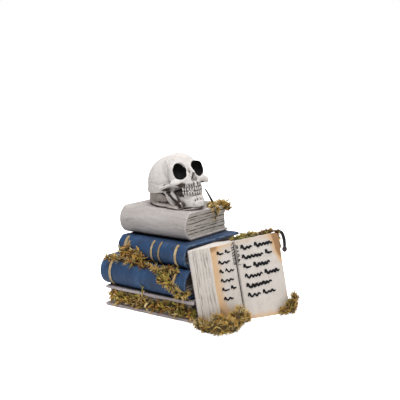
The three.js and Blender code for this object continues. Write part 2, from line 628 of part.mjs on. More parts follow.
const FOOT_MOSS_SHARES = [
  [0.12, -0.12, 0.1, 1, 1, 0.9], [0.38, -0.28, 0.1, 1.3, 1.2, 1], [0.68, -0.36, 0.1, 1.5, 1.4, 1.2],
  [1, -0.3, 0.12, 1.6, 1.6, 1.3], [1.18, 0.02, 0.15, 1.4, 1.5, 1.6], [1.15, 0.4, 0.2, 1.2, 1.3, 2],
  [1.08, 0.8, 0.2, 1, 1.2, 2], [1.08, 1.15, 0.12, 0.8, 0.9, 1.3], [0.75, 0.05, 0.2, 1.2, 1.2, 1.5],
];
const CORNER_MOSS_SHARES = [
  [1.7, 2.55, 0.1, 1, 1, 0.9], [1.82, 2.8, 0.2, 1.1, 1.1, 1.6], [1.84, 3, 0.4, 0.9, 1, 1.6],
  [1.72, 3.18, 0.2, 1, 0.9, 1.5],
];
const TOP_MOSS_SHARES = [
  [0.04, 0.47, 1.02, 0.8, 0.8, 0.4], [0.05, 0.54, 1.03, 0.9, 0.8, 0.5], [0.06, 0.63, 1.04, 0.9, 0.8, 0.6],
  [0.05, 0.72, 1.04, 0.9, 0.8, 0.6], [0.04, 0.82, 1.05, 0.9, 0.8, 0.65], [0.02, 0.92, 1.02, 0.9, 0.9, 0.7],
  [0, 0.98, 0.9, 0.7, 0.6, 0.8], [0, 0.63, 0.92, 0.4, 0.35, 0.8], [0, 0.61, 0.75, 0.35, 0.3, 0.7],
  [0, 0.58, 0.6, 0.3, 0.25, 0.6],
];
const LEDGE_MOSS_SHARES = [
  [0.12, 0.8, 1, 0.7, 0.7, 0.4], [0.22, 0.75, 1.01, 0.8, 0.8, 0.55], [0.33, 0.75, 1.02, 0.8, 0.8, 0.6],
  [0.44, 0.7, 1.02, 0.8, 0.8, 0.5], [0.54, 0.6, 1.01, 0.8, 0.8, 0.45],
];
const EDGE_MOSS_SHARES = [
  [0.7, 0.5, 1.02, 0.8, 0.8, 0.5], [0.8, 0.45, 1.02, 0.8, 0.8, 0.6], [0.9, 0.4, 1.02, 0.8, 0.8, 0.6],
  [0.99, 0.35, 0.98, 0.8, 0.7, 0.8], [1.02, 0.3, 0.9, 0.6, 0.6, 0.8], [1.02, 0.25, 0.82, 0.5, 0.5, 0.7],
];

function lumps(rows, carrier, grow) {
  return rows.map((row) => {
    const place = row.slice(0, -3);
    const [long, deep, tall] = row.slice(-3).map((share) => share * MOSS_LUMP + grow);
    const { x, y, z } = carrier(...place);
    return ellipsoid(long, deep, tall, LUMP_STEPS).translate(x, y, z);
  });
}

const tufts = [
  { name: "spine_moss", make: (grow) => [
    ...lumps(SPINE_MOSS_SHARES, (along, up) => onSpine(upperBlueBook, along, up), grow),
    ...lumps(SHOULDER_MOSS_SHARES, (along, up) => onSpine(lowerBlueBook, along, up), grow),
  ] },
  { name: "lower_spine_moss", make: (grow) =>
    lumps(LOWER_SPINE_MOSS_SHARES, (along, up) => onSpine(lowerBlueBook, along, up), grow) },
  { name: "base_moss", make: (grow) =>
    lumps(BASE_MOSS_SHARES, (along, up) => onForeEdge(bottomBook, along, up), grow) },
  { name: "foot_moss", make: (grow) => lumps(FOOT_MOSS_SHARES, onTable, grow) },
  { name: "corner_moss", make: (grow) => lumps(CORNER_MOSS_SHARES, onTable, grow) },
  { name: "top_moss", make: (grow) =>
    lumps(TOP_MOSS_SHARES, (along, deep, up) => onBoard(greyBook, along, deep, up), grow) },
  { name: "ledge_moss", make: (grow) => lumps(LEDGE_MOSS_SHARES, onRightPage, grow) },
  { name: "edge_moss", make: (grow) => lumps(EDGE_MOSS_SHARES, onRightPage, grow) },
];

const SKULL_STEM_SHARES = [[0.1, 0.76, 1.06], [0.11, 0.67, 1.36], [0.1, 0.55, 1.64]];
const PAGE_STEM_SHARES = [[0.99, 0.35, 1.03], [1.08, 0.35, 0.98], [1.1, 0.35, 0.9], [1.08, 0.35, 0.84]];

const stems = [
  { name: "skull_stem", bud: false, spots: SKULL_STEM_SHARES.map((place) => onBoard(greyBook, ...place)) },
  { name: "page_stem", bud: true, spots: PAGE_STEM_SHARES.map((place) => onRightPage(...place)) },
];

function stemGeometry({ spots, bud }, grow) {
  const stalk = tube(spots, STEM.radius + grow);
  if (!bud) return stalk;
  const { x, y, z } = spots.at(-1);
  return join(stalk, ellipsoid(STEM.bud + grow, STEM.bud + grow, STEM.bud + grow, 8).translate(x, y, z));
}

// The whole decoration
const decoration = new THREE.Group();
const skull = new THREE.Group();
skullMatrix.decompose(skull.position, skull.quaternion, skull.scale);
decoration.add(skull);

function addPiece(parent, name, geometry, material) {
  const piece = new THREE.Mesh(geometry, material);
  piece.name = name;
  parent.add(piece);
}

for (const { name, book, cover, bands, z } of pile) {
  addPiece(decoration, `${name}_cover`, placed(book, caseGeometry(book), z), cover);
  addPiece(decoration, `${name}_pages`, placed(book, pagesGeometry(book), z), paint.page);
  bands.forEach((share, i) => {
    addPiece(decoration, `${name}_band_${i + 1}`, placed(book, bandGeometry(book, share), z), paint.gold);
  });
}

addPiece(decoration, "open_book_cover", openPiece(openCoverOutline()), paint.lilac);
addPiece(decoration, "open_book_left_pages", openPiece(leftPagesOutline()), paint.parchment);
addPiece(decoration, "open_book_right_pages", cut(openPiece(rightPagesOutline()), pageCornerCutter()),
  paint.parchment);

addPiece(skull, "cranium", craniumGeometry(0), paint.bone);
addPiece(skull, "upper_teeth", teethGeometry(1), paint.tooth);
addPiece(skull, "lower_teeth", teethGeometry(-1), paint.tooth);
addPiece(skull, "mandible", mandibleGeometry(), paint.bone);
addPiece(decoration, "skull_plinth", plinthGeometry(), paint.stone);

const neighbours = [
  ...pile.map(bookClearance), openClearance(), jawGeometry(SEAT).applyMatrix4(skullMatrix),
  ...stems.map((stem) => stemGeometry(stem, SEAT)),
];
for (const { name, make } of tufts) {
  addPiece(decoration, name, keep(cut(join(...make(0)), ...neighbours), aboveTable), paint.moss);
  neighbours.push(join(...make(SEAT)));
}
for (const stem of stems) {
  addPiece(decoration, stem.name, stemGeometry(stem, 0), paint.stem);
}

// The origin moves to the middle of the footprint
const footprint = new THREE.Box3().setFromObject(decoration, true);
const middle = footprint.getCenter(new THREE.Vector3());
decoration.position.set(-middle.x, -middle.y, -footprint.min.z);

export default decoration;
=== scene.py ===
# %% [markdown]
# # A skull on a pile of books
# This lesson dresses a cast resin ornament: a skull on four closed books, an open book that leans on them,
# and dried moss and stems glued along the edges. The construction comes from the frame, which gives every
# piece its size and place. Here each piece gets the softness of a casting, its painted finish and its small
# irregularities.

# %% Load the frame
import math
import random

import bmesh
import bpy
import numpy as np
from mathutils import Matrix, Vector
from mathutils.bvhtree import BVHTree


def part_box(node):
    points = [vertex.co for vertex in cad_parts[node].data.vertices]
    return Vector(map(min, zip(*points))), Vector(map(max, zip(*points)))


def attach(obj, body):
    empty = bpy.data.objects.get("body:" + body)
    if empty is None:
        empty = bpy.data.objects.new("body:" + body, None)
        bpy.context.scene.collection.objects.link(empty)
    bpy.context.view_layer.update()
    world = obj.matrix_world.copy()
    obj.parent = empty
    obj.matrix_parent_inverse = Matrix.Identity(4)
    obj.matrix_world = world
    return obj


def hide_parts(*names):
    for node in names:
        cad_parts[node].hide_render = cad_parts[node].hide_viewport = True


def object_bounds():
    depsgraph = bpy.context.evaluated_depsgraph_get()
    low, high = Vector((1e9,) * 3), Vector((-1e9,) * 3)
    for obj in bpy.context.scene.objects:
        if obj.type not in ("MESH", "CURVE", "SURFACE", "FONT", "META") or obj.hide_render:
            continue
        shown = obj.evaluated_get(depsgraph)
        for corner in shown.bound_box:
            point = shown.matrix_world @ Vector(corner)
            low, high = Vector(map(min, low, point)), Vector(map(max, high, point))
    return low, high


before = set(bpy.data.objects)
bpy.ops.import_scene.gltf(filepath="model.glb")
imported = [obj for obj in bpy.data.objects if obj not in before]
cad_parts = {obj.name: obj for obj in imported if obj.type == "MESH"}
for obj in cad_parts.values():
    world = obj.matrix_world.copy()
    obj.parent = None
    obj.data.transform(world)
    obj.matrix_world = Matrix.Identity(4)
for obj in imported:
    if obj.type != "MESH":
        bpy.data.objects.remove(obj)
cad_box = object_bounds()
MM = 0.001
print("frame box, mm:", [round(1000 * (high - low)) for low, high in zip(*cad_box)])

# %% [markdown]
# The books of the pile are turned a little on each other, and all their places are counted from one corner:
# the near bottom corner of the grey book's tail. The grey book's box gives that corner back, since its
# lowest and highest points are known from its own length, bulge and turn.

# %% The pile's corner and its books
BOOKS = {
    "bottom_book": dict(length=156, depth=128, thick=30, board=4.2, overhang=5, bulge=8, corner=(30, -38),
                        turn=1.7, low=0, layers=6, shade=0.6, spine_at_back=True),
    "lower_blue_book": dict(length=154, depth=124, thick=42, board=4, overhang=4, bulge=15, corner=(21, -31),
                            turn=-0.2, low=30.3, layers=8, shade=1.0, spine_at_back=False),
    "upper_blue_book": dict(length=124, depth=117, thick=32, board=3.8, overhang=4, bulge=11,
                            corner=(15, -26.5), turn=-2.6, low=72.6, layers=6, shade=1.0,
                            spine_at_back=False),
    "grey_book": dict(length=119, depth=95, thick=40, board=3.6, overhang=3, bulge=14, corner=(0, -2),
                      turn=0.4, low=104.9, layers=7, shade=0.0, spine_at_back=False),
}
SEAT = 0.3
grey = BOOKS["grey_book"]
grey_low, grey_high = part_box("grey_book_cover")
grey_turn = math.radians(grey["turn"])
pile_corner = Vector((
    grey_high[0] / MM - grey["bulge"] * math.sin(grey_turn),
    grey_low[1] / MM + grey["bulge"] * math.cos(grey_turn) + grey["length"] * math.sin(grey_turn),
    0,
)) - Vector((*grey["corner"], 0))
print("pile corner, mm:", [round(value, 2) for value in pile_corner])


def in_pile(spots):
    """Moves points from the pile's corner, in millimetres, into the frame, in metres."""
    return (np.asarray(spots, float) + np.array(pile_corner)) * MM


def on_book(book, spots):
    """Points on a book, measured from its own corner, as points of the pile."""
    spots = np.array(spots, float).reshape(-1, 3)
    if book["spine_at_back"]:
        spots[:, :2] = np.array([-book["length"], book["depth"]]) - spots[:, :2]
    turn = math.radians(book["turn"])
    x = spots[:, 0] * math.cos(turn) - spots[:, 1] * math.sin(turn)
    y = spots[:, 0] * math.sin(turn) + spots[:, 1] * math.cos(turn)
    return np.column_stack([x + book["corner"][0], y + book["corner"][1], spots[:, 2] + book["low"]])


# %% [markdown]
# The camera stands where the photograph was taken: to the right of the spines and a little above the pile.
# Its place is measured from the pile's corner, because that is the point that the edges of the books agree
# on.

# %% The camera
CAMERA_FROM_CORNER = Vector((628.0, -859.8, 347.8))
CAMERA_AZIMUTH = math.radians(35.53)
CAMERA_PITCH = math.radians(9.86)
SENSOR_WIDTH = 36
FOCAL_LENGTH = 70.19

camera_data = bpy.data.cameras.new("camera")
camera_data.sensor_width = SENSOR_WIDTH
camera_data.lens = FOCAL_LENGTH
camera = bpy.data.objects.new("camera", camera_data)
camera.location = (CAMERA_FROM_CORNER + pile_corner) * MM
camera.rotation_euler = (math.pi / 2 - CAMERA_PITCH, 0, CAMERA_AZIMUTH)
bpy.context.scene.collection.objects.link(camera)
bpy.context.scene.camera = camera
print("camera at", [round(value, 3) for value in camera.location])

# %% [markdown]
# The photograph is a product picture on white, with soft light from above and hardly a shadow. A white
# floor that looks bright to the camera, a sky that looks white but lights the ornament only half as much,
# and three large soft lamps give that. The Standard view keeps the white clean and the colours of the paint
# as they are mixed.

# %% The floor
FLOOR_SIZE = 6
FLOOR_SHADE = 0.93
WHITE = (1, 1, 1, 1)

bpy.ops.object.select_all(action="DESELECT")
bpy.ops.mesh.primitive_plane_add(size=FLOOR_SIZE)
floor = bpy.context.object
floor.name = "floor"
floor_paint = bpy.data.materials.new("floor")
floor_paint.use_nodes = True
tree = floor_paint.node_tree
shader = tree.nodes["Principled BSDF"]
shader.inputs["Base Color"].default_value = (FLOOR_SHADE, FLOOR_SHADE, FLOOR_SHADE, 1)
shader.inputs["Roughness"].default_value = 0.9
shader.inputs["Emission Color"].default_value = WHITE
seen = tree.nodes.new("ShaderNodeLightPath")
tree.links.new(seen.outputs["Is Camera Ray"], shader.inputs["Emission Strength"])
floor.data.materials.append(floor_paint)
print("floor of", FLOOR_SIZE, "m")

# %% The lamps and the sky
LOOK_AT = Vector((0, 0, 0.1))
SKY_LIGHT = 0.42


def soft_lamp(name, place, size, power):
    """A large square lamp that looks at the middle of the ornament."""
    data = bpy.data.lights.new(name, "AREA")
    data.size = size
    data.energy = power
    lamp = bpy.data.objects.new(name, data)
    lamp.location = place
    aim = LOOK_AT - lamp.location
    lamp.rotation_euler = aim.to_track_quat("-Z", "Y").to_euler()
    bpy.context.scene.collection.objects.link(lamp)
    return lamp


lamps = [
    soft_lamp("key_lamp", (0.2, -0.3, 1.5), 0.7, 15.5),
    soft_lamp("fill_lamp", (1.3, -0.7, 0.6), 0.9, 1.8),
    soft_lamp("back_lamp", (-0.2, 0.9, 1.3), 0.9, 5),
]

world = bpy.data.worlds.new("white_studio")
bpy.context.scene.world = world
world.use_nodes = True
sky = world.node_tree
background = sky.nodes["Background"]
background.inputs["Color"].default_value = WHITE
looks = sky.nodes.new("ShaderNodeLightPath")
strength = sky.nodes.new("ShaderNodeMapRange")
strength.inputs["To Min"].default_value = SKY_LIGHT
strength.inputs["To Max"].default_value = 1.0
sky.links.new(looks.outputs["Is Camera Ray"], strength.inputs["Value"])
sky.links.new(strength.outputs["Result"], background.inputs["Strength"])
bpy.context.scene.view_settings.view_transform = "Standard"
print("studio lamps:", [lamp.name for lamp in lamps])

# %% [markdown]
# A few helpers are used for every piece. `only` selects one piece and nothing else, because an operator
# acts on all that is selected. `finish_with` adds a modifier and applies it. `spots_of` and `move_spots`
# read and write all the corners of a mesh at once, which is how the small hand-made irregularities are
# pushed in.

# %% Helpers for every piece
def only(piece):
    """Selects one piece and nothing else, and makes it the active one."""
    bpy.ops.object.select_all(action="DESELECT")
    piece.select_set(True)
    bpy.context.view_layer.objects.active = piece


def start_with(primitive, name, **values):
    """Adds a primitive while nothing else is selected."""
    bpy.ops.object.select_all(action="DESELECT")
    primitive(**values)
    bpy.context.object.name = name
    return bpy.context.object


def own_copy(mesh, name):
    """A new piece with its own copy of a mesh."""
    piece = bpy.data.objects.new(name, mesh.copy())
    bpy.context.scene.collection.objects.link(piece)
    return piece


def finish_with(piece, kind, **values):
    """Adds a modifier, sets its values and applies it."""
    only(piece)
    change = piece.modifiers.new(kind.lower(), kind)
    for name, value in values.items():
        setattr(change, name, value)
    bpy.ops.object.modifier_apply(modifier=change.name)


print("helpers:", only.__name__, start_with.__name__, own_copy.__name__, finish_with.__name__)

# %% Reading, moving and welding corners
WELD = 0.002 * MM


def read_all(items, field, width, kind=np.float32):
    """One value of all the corners or edges of a mesh, as rows."""
    flat = np.empty(width * len(items), kind)
    items.foreach_get(field, flat)
    return flat.reshape(-1, width)


def spots_of(piece):
    """All the corners of a piece's mesh, as rows of x, y and z."""
    return read_all(piece.data.vertices, "co", 3).astype(float)


def move_spots(piece, spots):
    """Gives every corner of a piece's mesh a new place."""
    piece.data.vertices.foreach_set("co", np.asarray(spots, np.float32).ravel())
    piece.data.update()


def weld(piece, outwards=True):
    """Merges doubled corners, and turns all faces outwards."""
    only(piece)
    bpy.ops.object.mode_set(mode="EDIT")
    bpy.ops.mesh.select_all(action="SELECT")
    bpy.ops.mesh.remove_doubles(threshold=WELD)
    if outwards:
        bpy.ops.mesh.normals_make_consistent(inside=False)
    bpy.ops.object.mode_set(mode="OBJECT")


def copy_of(node, name):
    """A copy of a piece of the frame, with its loose triangles welded, to be worked on."""
    piece = own_copy(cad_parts[node].data, name)
    piece.data.materials.clear()
    weld(piece, outwards=False)
    return piece


def join_pieces(name, parts):
    """Joins several parts into one piece."""
    only(parts[0])
    for part in parts[1:]:
        part.select_set(True)
    bpy.ops.object.join()
    parts[0].name = name
    return parts[0]


print("corners closer than", WELD / MM, "mm are welded")

# %% [markdown]
# A hand-cast piece has no perfect flats. Two cloud textures push each surface in and out by a few tenths of
# a millimetre: a wide one that warps it and a fine one that leaves it a little lumpy.

# %% Hand-cast unevenness
def clouds(name, size):
    texture = bpy.data.textures.new(name, "CLOUDS")
    texture.noise_scale = size * MM
    texture.noise_depth = 2
    return texture


wide_clouds = clouds("wide_clouds", 22)
small_clouds = clouds("small_clouds", 4)


def make_uneven(piece, wide, small):
    """Pushes a surface in and out by these many millimetres, over wide and over small stretches."""
    for texture, strength in ((wide_clouds, wide), (small_clouds, small)):
        if strength:
            finish_with(piece, "DISPLACE", texture=texture, texture_coords="LOCAL", strength=strength * MM)


def soften(piece, voxel, rounds):
    """Rebuilds a piece from even small faces and rounds its edges, as a mould does."""
    finish_with(piece, "REMESH", mode="VOXEL", voxel_size=voxel * MM)
    finish_with(piece, "SMOOTH", factor=0.5, iterations=rounds)


print("clouds:", wide_clouds.name, small_clouds.name)

# %% [markdown]
# Paint on a casting tells where it is deep and where it sticks out: dark wash stays in the hollows, and a
# dry brush leaves a light touch on the edges. The same dark also lays painted shade where shade falls,
# in hollows and between and under parts. Each piece therefore carries two numbers per corner, measured
# from its shape: `hollow`, from 0 in the open to 1 deep inside, and `edge`, which is large on an outward
# edge.

# %% Measuring hollows and edges
def store(piece, name, values):
    """Keeps one number per corner under a name that the materials read."""
    layer = piece.data.attributes.get(name) or piece.data.attributes.new(name, "FLOAT", "POINT")
    layer.data.foreach_set("value", np.asarray(values, np.float32))


def stored(piece, name):
    """The numbers kept under a name, or zeros."""
    layer = piece.data.attributes.get(name)
    if layer:
        return read_all(layer.data, "value", 1)[:, 0].astype(float)
    return np.zeros(len(piece.data.vertices))


def normals_of(piece):
    return read_all(piece.data.vertex_normals, "vector", 3).astype(float)


def neighbours_of(piece):
    return read_all(piece.data.edges, "vertices", 2, np.int32)


def spread(values, pairs, rounds):
    """Averages a number with its neighbours' several times over."""
    count = np.bincount(pairs.ravel(), minlength=len(values)).astype(float)
    for _ in range(rounds):
        total = np.bincount(pairs[:, 0], values[pairs[:, 1]], len(values))
        total += np.bincount(pairs[:, 1], values[pairs[:, 0]], len(values))
        values = 0.5 * values + 0.5 * total / np.maximum(count, 1)
    return values


def mark_edges(piece):
    """Stores how far each corner sticks out of its neighbourhood, and how far it lies in a groove."""
    pairs = neighbours_of(piece)
    spots = spots_of(piece)
    level = np.column_stack([spread(spots[:, axis], pairs, 3) for axis in range(3)])
    rise = spread(np.einsum("ij,ij->i", spots - level, normals_of(piece)) / MM, pairs, 2)
    store(piece, "edge", np.clip(rise * 4, 0, 1))
    store(piece, "hollow", np.maximum(stored(piece, "hollow"), np.clip(-rise * 4, 0, 1)))


print("a lone bump in a row, averaged once:", spread(np.array([0.0, 1, 0]), np.array([[0, 1], [1, 2]]), 1))

# %% Measuring what is shut in
def directions(count):
    """Directions spread evenly over a half ball that looks up."""
    steps = np.arange(count) + 0.5
    height = 1 - 0.85 * steps / count
    around = steps * math.pi * (1 + math.sqrt(5))
    flat = np.sqrt(1 - height ** 2)
    return np.column_stack([flat * np.cos(around), flat * np.sin(around), height])


def mark_shut_in(piece, others, reach=9, count=14):
    """Stores the share of the directions in which the piece or its neighbours are close by: painted shade.
    """
    corners = [spots_of(item) for item in (piece, *others)]
    faces = []
    start = 0
    for item, spots in zip((piece, *others), corners):
        faces += [[start + index for index in face.vertices] for face in item.data.polygons]
        start += len(spots)
    tree = BVHTree.FromPolygons(np.vstack(corners).tolist(), faces)
    rays = [Vector(ray) for ray in directions(count)]
    shares = np.zeros(len(corners[0]))
    for index, (spot, normal) in enumerate(zip(corners[0], normals_of(piece))):
        way = Vector(normal)
        turn = way.to_track_quat("Z", "Y").to_matrix()
        origin = Vector(spot) + way * 0.15 * MM
        found = [tree.ray_cast(origin, turn @ ray, reach * MM)[3] for ray in rays]
        shares[index] = sum(1 - 0.6 * far / (reach * MM) for far in found if far is not None) / count
    store(piece, "hollow", spread(shares, neighbours_of(piece), 1))


print("directions to look in:", len(directions(14)))

# %% [markdown]
# A finished piece is kept inside the frame's box and off the table's face, is smooth to the eye, rides on
# the ornament's one body, and stands for the pieces of the frame that it covers.

# %% Finishing a piece
def finish_piece(piece, material, stands_for=(), angle=60):
    move_spots(piece, np.clip(spots_of(piece), *np.array(cad_box)))
    piece.data.materials.clear()
    piece.data.materials.append(material)
    only(piece)
    bpy.ops.object.shade_smooth_by_angle(angle=math.radians(angle))
    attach(piece, "root")
    if stands_for:
        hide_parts(*stands_for)
    print(piece.name, len(piece.data.polygons), "faces")
    return piece


# %% [markdown]
# All the paints share three effects, each a node group that is built once. Hand-brushed colour has lighter
# and darker patches and a fine speckle. A ragged mask turns a number on the mesh, such as its hollows, into
# a mask with an uneven border. Cast grain is the height of a surface that was never polished.

# %% Helpers for the nodes
def paint_colour(red, green, blue):
    """A colour as a screen shows it, from 0 to 255, as the light that it gives back."""
    shares = (red / 255, green / 255, blue / 255)
    return (*(s / 12.92 if s <= 0.04045 else ((s + 0.055) / 1.055) ** 2.4 for s in shares), 1)


def add_node(tree, kind, takes=None, **settings):
    """Adds a node with its settings, and gives its inputs their values or the sockets that feed them."""
    made = tree.nodes.new("ShaderNode" + kind)
    for name, value in settings.items():
        setattr(made, name, value)
    for name, value in (takes or {}).items():
        if isinstance(value, bpy.types.NodeSocket):
            tree.links.new(value, made.inputs[name])
        else:
            made.inputs[name].default_value = value
    return made


def mixed(tree, share, first, second, way="MIX"):
    """One colour laid over another by a share."""
    takes = {0: share, 6: first, 7: second}
    return add_node(tree, "Mix", takes, data_type="RGBA", blend_type=way).outputs[2]


def reckon(tree, operation, first, second):
    return add_node(tree, "Math", {0: first, 1: second}, operation=operation).outputs[0]


def between(tree, value, low, high, to_low=0.0, to_high=1.0):
    """Turns a stretch of values into another stretch, with soft ends."""
    takes = {"Value": value, "From Min": low, "From Max": high, "To Min": to_low, "To Max": to_high}
    return add_node(tree, "MapRange", takes, interpolation_type="SMOOTHSTEP").outputs["Result"]


def noise(tree, place, scale, detail, roughness=0.55, distortion=0.0):
    takes = {"Vector": place, "Scale": scale, "Detail": detail, "Roughness": roughness,
             "Distortion": distortion}
    return add_node(tree, "TexNoise", takes).outputs["Fac"]


def new_group(name, takes, gives):
    """A shader group with these named inputs, and one output."""
    tree = bpy.data.node_groups.new(name, "ShaderNodeTree")
    for label, value in {"Place": None, **takes}.items():
        kind = "Vector" if value is None else "Color" if value == WHITE else "Float"
        socket = tree.interface.new_socket(label, in_out="INPUT", socket_type="NodeSocket" + kind)
        if value is not None:
            socket.default_value = value
    kind = "Color" if gives == "Colour" else "Float"
    tree.interface.new_socket(gives, in_out="OUTPUT", socket_type="NodeSocket" + kind)
    return tree, tree.nodes.new("NodeGroupInput").outputs, tree.nodes.new("NodeGroupOutput").inputs[0]


def use_group(tree, group, **values):
    takes = {name.replace("_", " "): value for name, value in values.items()}
    return add_node(tree, "Group", takes, node_tree=group).outputs[0]


print("black and white paint:", paint_colour(0, 0, 0), paint_colour(255, 255, 255))

# %% The shared effects
brushed, takes, gives = new_group("hand_brushed_colour", {
    "Body": WHITE, "Light": WHITE, "Dark": WHITE, "Patch scale": 60.0, "Light share": 0.5, "Dark share": 0.5,
}, "Colour")
light_patches = between(brushed, noise(brushed, takes["Place"], takes["Patch scale"], 5.0, 0.6), 0.46, 0.68)
fine_scale = reckon(brushed, "MULTIPLY", takes["Patch scale"], 2.7)
dark_patches = between(brushed, noise(brushed, takes["Place"], fine_scale, 8.0, 0.65, 0.6), 0.48, 0.74)
lit = reckon(brushed, "MULTIPLY", light_patches, takes["Light share"])
shaded = reckon(brushed, "MULTIPLY", dark_patches, takes["Dark share"])
colour = mixed(brushed, shaded, mixed(brushed, lit, takes["Body"], takes["Light"]), takes["Dark"])
speckle = between(brushed, noise(brushed, takes["Place"], 1400.0, 2.0), 0.3, 0.7, 0.93, 1.05)
brushed.links.new(mixed(brushed, 1.0, colour, speckle, "MULTIPLY"), gives)

ragged, takes, gives = new_group("ragged_mask", {
    "Value": 0.0, "Scale": 180.0, "From": 0.2, "To": 0.6, "Raggedness": 0.4, "Strength": 1.0,
}, "Mask")
fray = reckon(ragged, "SUBTRACT", noise(ragged, takes["Place"], takes["Scale"], 6.0, 0.65), 0.5)
frayed = reckon(ragged, "ADD", takes["Value"], reckon(ragged, "MULTIPLY", fray, takes["Raggedness"]))
mask = between(ragged, frayed, takes["From"], takes["To"])
ragged.links.new(reckon(ragged, "MULTIPLY", mask, takes["Strength"]), gives)

grain, takes, gives = new_group("cast_grain", {"Scale": 500.0}, "Height")
coarse = noise(grain, takes["Place"], takes["Scale"], 6.0, 0.6)
pit_scale = reckon(grain, "MULTIPLY", takes["Scale"], 0.35)
pits = between(grain, noise(grain, takes["Place"], pit_scale, 3.0), 0.3, 0.45)
height = reckon(grain, "ADD", reckon(grain, "MULTIPLY", coarse, 0.6), reckon(grain, "MULTIPLY", pits, 0.4))
grain.links.new(height, gives)
print("shared effects:", brushed.name, ragged.name, grain.name)


# %% [markdown]
# Every painted part gets the same recipe with its own colours: a brushed body, a dark wash in the hollows,
# which also lays painted shade where shade falls, a worn or dry-brushed touch on the edges, and a grain
# that breaks the gloss.

# %% The paint recipe
def new_paint(name):
    """A material, its node tree, and the place on the piece that its patterns read."""
    material = bpy.data.materials.new(name)
    material.use_nodes = True
    return material, material.node_tree, add_node(material.node_tree, "TexCoord").outputs["Object"]


def attribute(tree, name):
    return add_node(tree, "Attribute", attribute_name=name).outputs["Fac"]


def laid_over(tree, place, colour, mark, scale, start, stop, fray, strength, shade):
    """Lays a shade over a colour where a number on the mesh is large, with a ragged border."""
    mask = use_group(tree, ragged, Value=attribute(tree, mark), Place=place, Scale=scale, From=start,
                     To=stop, Raggedness=fray, Strength=strength)
    return mixed(tree, mask, colour, paint_colour(*shade))


def surface(tree, place, colour, scale, gloss, bump, deep):
    """Gives the shader its colour, and takes its roughness and its bump from the cast grain."""
    shader = tree.nodes["Principled BSDF"]
    tree.links.new(colour, shader.inputs["Base Color"])
    height = use_group(tree, grain, Place=place, Scale=scale)
    tree.links.new(between(tree, height, *gloss), shader.inputs["Roughness"])
    lumps = add_node(tree, "Bump", {"Strength": bump, "Distance": deep * MM, "Height": height})
    tree.links.new(lumps.outputs["Normal"], shader.inputs["Normal"])
    return shader


def cast_paint(name, body, light, dark, wash_and_shade, worn, patch, light_share=0.5, dark_share=0.4, wash_and_shade_from=0.15,
               wash_and_shade_to=0.6, wash_and_shade_strength=0.9, worn_from=0.35, worn_to=0.8, worn_strength=0.6, rough=0.55,
               grain_scale=500.0, bump=0.25, gleam=0.4, streak=(1.0, 1.0, 1.0), layers=()):
    """A painted casting: its colours, and how its wash and painted shade, wear, gloss and grain are tuned.
    """
    material, tree, place = new_paint(name)
    along = add_node(tree, "Mapping", {"Vector": place, "Scale": streak}).outputs["Vector"]
    colour = use_group(tree, brushed, Place=along, Body=paint_colour(*body), Light=paint_colour(*light),
                       Dark=paint_colour(*dark), Patch_scale=patch, Light_share=light_share,
                       Dark_share=dark_share)
    for layer in (*layers, ("hollow", 260.0, wash_and_shade_from, wash_and_shade_to, 0.35, wash_and_shade_strength, wash_and_shade),
                  ("edge", 150.0, worn_from, worn_to, 0.8, worn_strength, worn)):
        colour = laid_over(tree, place, colour, *layer)
    shader = surface(tree, place, colour, grain_scale, (0.3, 0.8, rough - 0.08, rough + 0.12), bump, 0.4)
    shader.inputs["Specular IOR Level"].default_value = gleam
    return material


print("a painted part reads:", "hollow", "edge")

# %% The paints
blue_paint = cast_paint(
    "blue_paint", (38, 68, 106), (60, 98, 142), (38, 44, 54), (20, 20, 24), (122, 140, 162), patch=56.0,
    light_share=0.55, dark_share=0.9, rough=0.5, streak=(1.0, 1.0, 0.4))
grey_paint = cast_paint(
    "grey_paint", (180, 173, 170), (206, 200, 198), (138, 127, 120), (62, 54, 50), (218, 212, 208),
    patch=70.0, dark_share=0.6, worn_strength=0.7, streak=(0.3, 1.0, 1.4))
lilac_paint = cast_paint(
    "lilac_paint", (184, 173, 175), (210, 201, 203), (120, 108, 107), (54, 46, 44), (206, 200, 204),
    patch=50.0, dark_share=0.5)
page_paint = cast_paint(
    "page_paint", (190, 181, 170), (212, 205, 196), (142, 128, 114), (54, 44, 38), (226, 221, 214),
    patch=70.0, dark_share=0.5, wash_and_shade_from=0.2, wash_and_shade_to=0.75, worn_strength=0.4, rough=0.65)
STAINS = (
    ("stain", 90.0, 0.2, 0.75, 0.5, 0.95, (220, 182, 138)),
    ("stain", 140.0, 0.75, 1.1, 0.6, 0.8, (150, 106, 66)),
)
parchment_paint = cast_paint(
    "parchment_paint", (219, 211, 203), (229, 223, 217), (184, 170, 156), (82, 73, 70), (232, 227, 222),
    patch=42.0, dark_share=0.45, wash_and_shade_from=0.2, wash_and_shade_to=0.8, worn_strength=0.3, rough=0.65, layers=STAINS)
gold_paint = cast_paint(
    "gold_paint", (176, 148, 104), (216, 194, 154), (104, 84, 54), (56, 44, 34), (222, 202, 164),
    patch=210.0, light_share=0.9, dark_share=0.85, rough=0.5, streak=(1.0, 1.0, 0.22))
bone_paint = cast_paint(
    "bone_paint", (218, 212, 208), (233, 229, 227), (178, 163, 156), (58, 44, 36), (243, 240, 237),
    patch=70.0, dark_share=0.45, wash_and_shade_from=0.16, wash_and_shade_to=0.62, wash_and_shade_strength=0.95, worn_from=0.25,
    worn_to=0.7, rough=0.65, grain_scale=420.0, bump=0.35, gleam=0.2,
    layers=(("black", 300.0, 0.35, 0.6, 0.2, 1.0, (9, 7, 7)),))
tooth_paint = cast_paint(
    "tooth_paint", (206, 197, 192), (230, 224, 220), (150, 135, 126), (38, 28, 24), (240, 236, 232),
    patch=160.0, dark_share=0.6, wash_and_shade_from=0.14, wash_and_shade_to=0.44, wash_and_shade_strength=0.97, rough=0.45)
